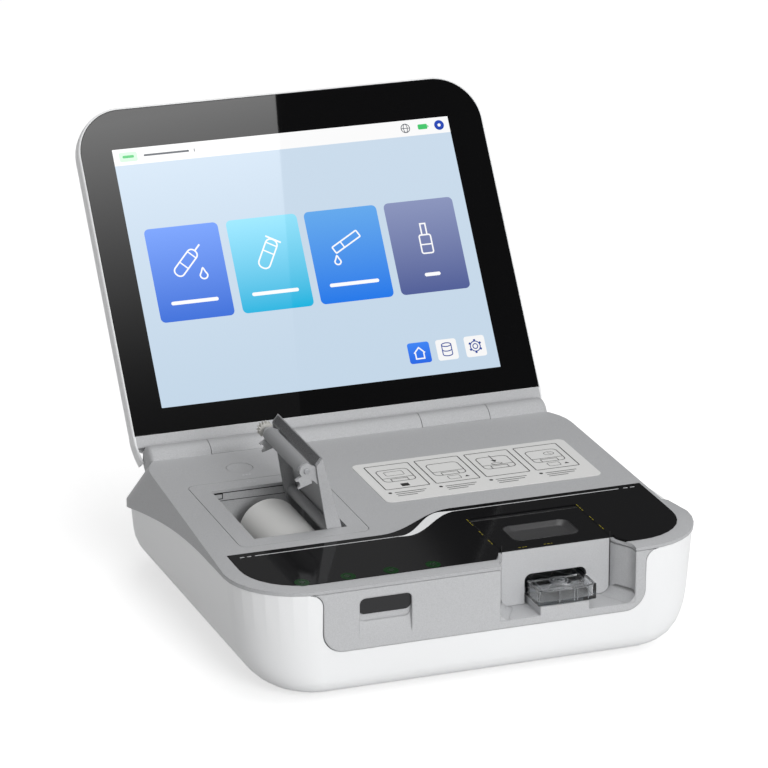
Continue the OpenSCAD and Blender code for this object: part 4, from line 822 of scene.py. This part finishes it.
# dark joints on the paper well's far wall
well = {"left": -104.6, "right": -52.0, "wall": -63.85, "joints": [(-1.9, 0.5), (-6.6, 0.35)],
        "clip": [(-104.2, -2.4), (-98.5, -2.4), (-98.5, -5.4), (-104.2, -5.4)]}
dark = [stroke([(well["left"], h), (well["right"], h)], w) for h, w in well["joints"]]
v, f = joined(dark + [stroke(well["clip"], 0.5)])
piece = putMesh("wellLines", deckPoints(v[:, 0], well["wall"], v[:, 1]), f, darkGap, smooth=False)
placed(piece, "base", 0.0001)
print("barrel ends, lid rim and corners, bay feet and well joints made")

# the finger dish in the module cover's black top
dish = {"x0": 27.2, "x1": 67.4, "y0": -191.4, "y1": -167.9, "round": 6.0, "inset": 0.75, "slope": 3.0,
        "floor": -2.15, "lip": 0.16, "lead": 0.35, "dip": 0.25}
edge, drop = dish["inset"] + dish["lead"], dish["lip"] - dish["dip"]    # where the slope starts
profile = [(dish["inset"] - 0.5, dish["lip"] + 0.08), (dish["inset"], dish["lip"]), (edge, drop)]
profile += [(edge + (dish["slope"] - dish["lead"]) * q, drop + (dish["floor"] + 0.1 - drop) * q ** 0.9)
            for q in np.linspace(0.15, 1, 7)]
profile += [(dish["inset"] + dish["slope"] + 0.8, dish["floor"]), (9.0, dish["floor"])]
rings = []
for g, h in profile:
    r = max(dish["round"] - g * 0.6, 0.5)
    rings.append(roundRing(dish["x0"] + g, dish["y0"] + g, dish["x1"] - g, dish["y1"] - g, r, 9))
count = len(rings[0])
v = np.vstack([np.column_stack([r, np.full(count, h)]) for r, (g, h) in zip(rings, profile)])
f, _, last = ringFaces(len(rings), count)
piece = putMesh("coverDish", deckPoints(v[:, 0], v[:, 1], v[:, 2]), f + [last], dishPlastic)
piece.data.set_sharp_from_angle(angle=math.radians(50))
placed(piece, "module_cover", 0.00008, -1.0)

# dark seams beside the module cover and the small marks on its front edge
bay = {"x": (15.75, 79.85), "front": -201.0, "floor": 33.6, "top": 69.6, "width": 0.36}
seams = [stroke([(x, bay["floor"]), (x, bay["top"])], bay["width"]) for x in bay["x"]]
v, f = joined(seams)
spots = np.stack([v[:, 0], np.full(len(v), bay["front"] + hingeY), v[:, 1]], -1)
placed(putMesh("moduleSeams", spots * mm, f, darkGap, smooth=False), "base", 0.0001)
ticks = {"y": -199.9, "width": 0.5, "lift": 0.05,
         "spans": [(26, 27.6), (28.2, 29.6), (30, 31), (41, 42.4), (43, 44.6), (45.2, 46)]}
marks = [stroke([(a, ticks["y"]), (b, ticks["y"])], ticks["width"]) for a, b in ticks["spans"]]
printOnDeck("coverMarks", marks, ochrePrint, ticks["lift"], body="module_cover")

# the cartridge's valve, its channels and its ribs
cart = {"x": 47.8, "y": -205.5, "top": 46.55, "front": -218.2, "low": 39.0}
valveProfile = [(0.0, 5.4), (0.0, 4.9), (-1.6, 4.7), (-1.6, 3.5), (0.1, 3.3), (0.1, 2.2), (-2.4, 2.0),
                (-2.4, 1.0), (-1.0, 0.8), (-1.0, 0.02)]
start = np.array([cart["x"], hingeY + cart["y"], cart["top"]], float)
v, f = turnedAlong(start, start + np.array([0, 0, 1.0]), valveProfile, 64)
piece = putMesh("cartridgeValve", v * mm, f, smokedPlastic)
piece.data.set_sharp_from_angle(angle=math.radians(40))
placed(piece, "cartridge", 0.0003, -1.0)
u = np.linspace(0, 1, 40)
cx, cy, top = cart["x"], cart["y"], cart["top"]
wave = np.stack([cx - 12 + 24 * u, cy + 10 + 3 * np.sin(u * 4 * math.pi)], -1)
channels = [stroke(wave, 0.55),
            stroke([(cx - 12, cy - 9.5), (cx - 6, cy - 4)], 0.5),
            stroke([(cx + 12, cy - 9.5), (cx + 6, cy - 4)], 0.5),
            stroke(roundRing(cx - 13.5, cy - 11.5, cx + 13.5, cy + 15, 3.0), 0.4, True)]
v, f = joined(channels)
spots = np.stack([v[:, 0], v[:, 1] + hingeY, np.full(len(v), top - 0.6)], -1)
placed(putMesh("cartridgeChannels", spots * mm, f, smokedPlastic, smooth=False), "cartridge",
       0.0003)
v, f = joined([stroke([(cx + a, cart["low"]), (cx + a, top - 0.4)], 0.5) for a in (-4.5, 4.2, 6.0, 12.5)])
spots = np.stack([v[:, 0], np.full(len(v), cart["front"] + hingeY + 0.9), v[:, 1]], -1)
placed(putMesh("cartridgeRibs", spots * mm, f, smokedPlastic, smooth=False), "cartridge",
       0.0006)
print("cover dish, seams and cartridge details made")

# lights, floor, camera
camera = {"azimuth": 20.535, "elevation": 19.131, "place": (-0.8206, -2.2084, 0.9306), "lens": 204.4}
a, e = math.radians(camera["azimuth"]), math.radians(camera["elevation"])
look = Vector((math.sin(a) * math.cos(e), math.cos(a) * math.cos(e), -math.sin(e)))
across = Vector((math.cos(a), -math.sin(a), 0))
above = across.cross(look)
cam = bpy.data.objects.new("camera", bpy.data.cameras.new("camera"))
cam.data.lens = camera["lens"]
cam.data.sensor_width = 36
cam.data.clip_end = 60
cam.matrix_world = Matrix.Translation(camera["place"]) @ Matrix((across, above, -look)).transposed().to_4x4()
bpy.context.scene.collection.objects.link(cam)
bpy.context.scene.camera = cam


def areaLamp(name, place, target, size, power):
    data = bpy.data.lights.new(name, "AREA")
    data.shape = "RECTANGLE"
    data.size, data.size_y = size
    data.energy = power
    lamp = bpy.data.objects.new(name, data)
    aim = (Vector(target) - Vector(place)).normalized()
    lamp.matrix_world = Matrix.Translation(place) @ aim.to_track_quat("-Z", "Y").to_matrix().to_4x4()
    bpy.context.scene.collection.objects.link(lamp)


# each lamp's place, target and size in metres, and its power in watts
lamps = {"keyLamp": ((0.12, -2.3, 0.95), (0, -0.05, 0.08), (1.0, 0.9), 29),
         "topLamp": ((0.1, 0.2, 2.2), (0, 0, 0.1), (1.2, 1.2), 13),
         "backLamp": ((-1.7, 1.1, 0.7), (-0.1, 0.05, 0.15), (0.8, 1.2), 3)}
for lampName, values in lamps.items():
    areaLamp(lampName, *values)

# a pale card above the camera shows in the left part of the glass, as in a photo studio
glassTurn = math.radians(lid["lean"])
glassNormal = np.array([0, -math.cos(glassTurn), math.sin(glassTurn)])
sheet = {"reach": 1.5, "top": 216.0, "foot": 20.0, "slant": -24.0, "far": -420.0, "spare": 0.6, "curve": 2.05,
         "glow": 4.15, "least": 0.12}


def mirrored(x, v):
    # the point in front of the glass that the camera sees mirrored at (x, v), at the card's distance
    p = lidPoints(x, lid["glassDepth"], v)
    d = p - np.array(camera["place"])
    d /= np.linalg.norm(d)
    r = d - 2 * (d @ glassNormal) * glassNormal
    return p + r * sheet["reach"]


top, low = mirrored(0.0, sheet["top"]), mirrored(sheet["slant"], sheet["foot"])
farTop, farLow = mirrored(sheet["far"], sheet["top"]), mirrored(sheet["far"] + sheet["slant"], sheet["foot"])
ends = ((top, low), (low, top), (farLow, farTop), (farTop, farLow))
corners = [a + (a - b) * sheet["spare"] for a, b in ends]
glowCard, tree, shader = newMaterial("paleCard")
shader.inputs["Base Color"].default_value = (0, 0, 0, 1)
shader.inputs["Emission Color"].default_value = (1, 1, 1, 1)
cardZ = tree.nodes.new("ShaderNodeSeparateXYZ")
tree.links.new(objectPoint(tree), cardZ.inputs[0])
rise = tree.nodes.new("ShaderNodeMapRange")
rise.inputs["From Min"].default_value = float(low[2])
rise.inputs["From Max"].default_value = float(top[2])
tree.links.new(cardZ.outputs["Z"], rise.inputs["Value"])
strength = mathNode(tree, "MULTIPLY", mathNode(tree, "POWER", rise.outputs[0], sheet["curve"]), sheet["glow"])
tree.links.new(mathNode(tree, "ADD", strength, sheet["least"]), shader.inputs["Emission Strength"])
card = putMesh("paleCard", corners, [(0, 1, 2, 3)], glowCard, smooth=False)
card.visible_camera = False
card.visible_shadow = False
card.visible_diffuse = False

studio = {"reach": 14, "grey": 0.62, "glossShare": 0.6}
paint, tree, shader = newMaterial("studioFloor")
shader.inputs["Base Color"].default_value = (studio["grey"], studio["grey"], studio["grey"], 1)
shader.inputs["Roughness"].default_value = 1.0
shader.inputs["Specular IOR Level"].default_value = 0.0
rays = tree.nodes.new("ShaderNodeLightPath")
seen = mathNode(tree, "MAXIMUM", rays.outputs["Is Camera Ray"], rays.outputs["Is Transmission Ray"])
gloss = mathNode(tree, "MULTIPLY", rays.outputs["Is Glossy Ray"], studio["glossShare"])
seen = mathNode(tree, "MAXIMUM", seen, gloss)
shader.inputs["Emission Color"].default_value = (1, 1, 1, 1)
tree.links.new(mathNode(tree, "MULTIPLY", seen, studio["grey"]), shader.inputs["Emission Strength"])
span = studio["reach"]
corners = [(-span, -span, 0), (span, -span, 0), (span, span, 0), (-span, span, 0)]
floor = putMesh("studioFloor", corners, [(0, 1, 2, 3)], paint, smooth=False)

world = bpy.data.worlds.new("studio")
bpy.context.scene.world = world
world.use_nodes = True
tree = world.node_tree
background = tree.nodes["Background"]
background.inputs["Color"].default_value = (1, 1, 1, 1)
rays = tree.nodes.new("ShaderNodeLightPath")
height = tree.nodes.new("ShaderNodeSeparateXYZ")
tree.links.new(tree.nodes.new("ShaderNodeTexCoord").outputs["Generated"], height.inputs[0])


def worldRange(source, fromMin, fromMax, toMin, toMax):
    n = tree.nodes.new("ShaderNodeMapRange")
    for k, v in zip(("From Min", "From Max", "To Min", "To Max"), (fromMin, fromMax, toMin, toMax)):
        n.inputs[k].default_value = v
    tree.links.new(source, n.inputs["Value"])
    return n.outputs[0]


# the gloss sees a bright low horizon in front; the soft light comes more from the right
glossHigh = worldRange(height.outputs["Z"], 0.42, 0.6, 0.8, 0.06)
glossBack = worldRange(height.outputs["Y"], 0.2, 0.6, 1.0, 0.1)     # darker behind, where the fascia looks
glossPart = mathNode(tree, "MULTIPLY", rays.outputs["Is Glossy Ray"],
                     mathNode(tree, "MULTIPLY", glossHigh, glossBack))
clearPart = mathNode(tree, "MAXIMUM", rays.outputs["Is Camera Ray"], rays.outputs["Is Transmission Ray"])
softSide = worldRange(height.outputs["X"], -1.0, 1.0, 0.0, 0.84)
softPart = mathNode(tree, "MULTIPLY", rays.outputs["Is Diffuse Ray"], softSide)
total = mathNode(tree, "MAXIMUM", mathNode(tree, "MAXIMUM", glossPart, clearPart), softPart)
tree.links.new(total, background.inputs["Strength"])
bpy.context.scene.view_settings.view_transform = "Standard"
print("studio set: camera, lamps, floor")
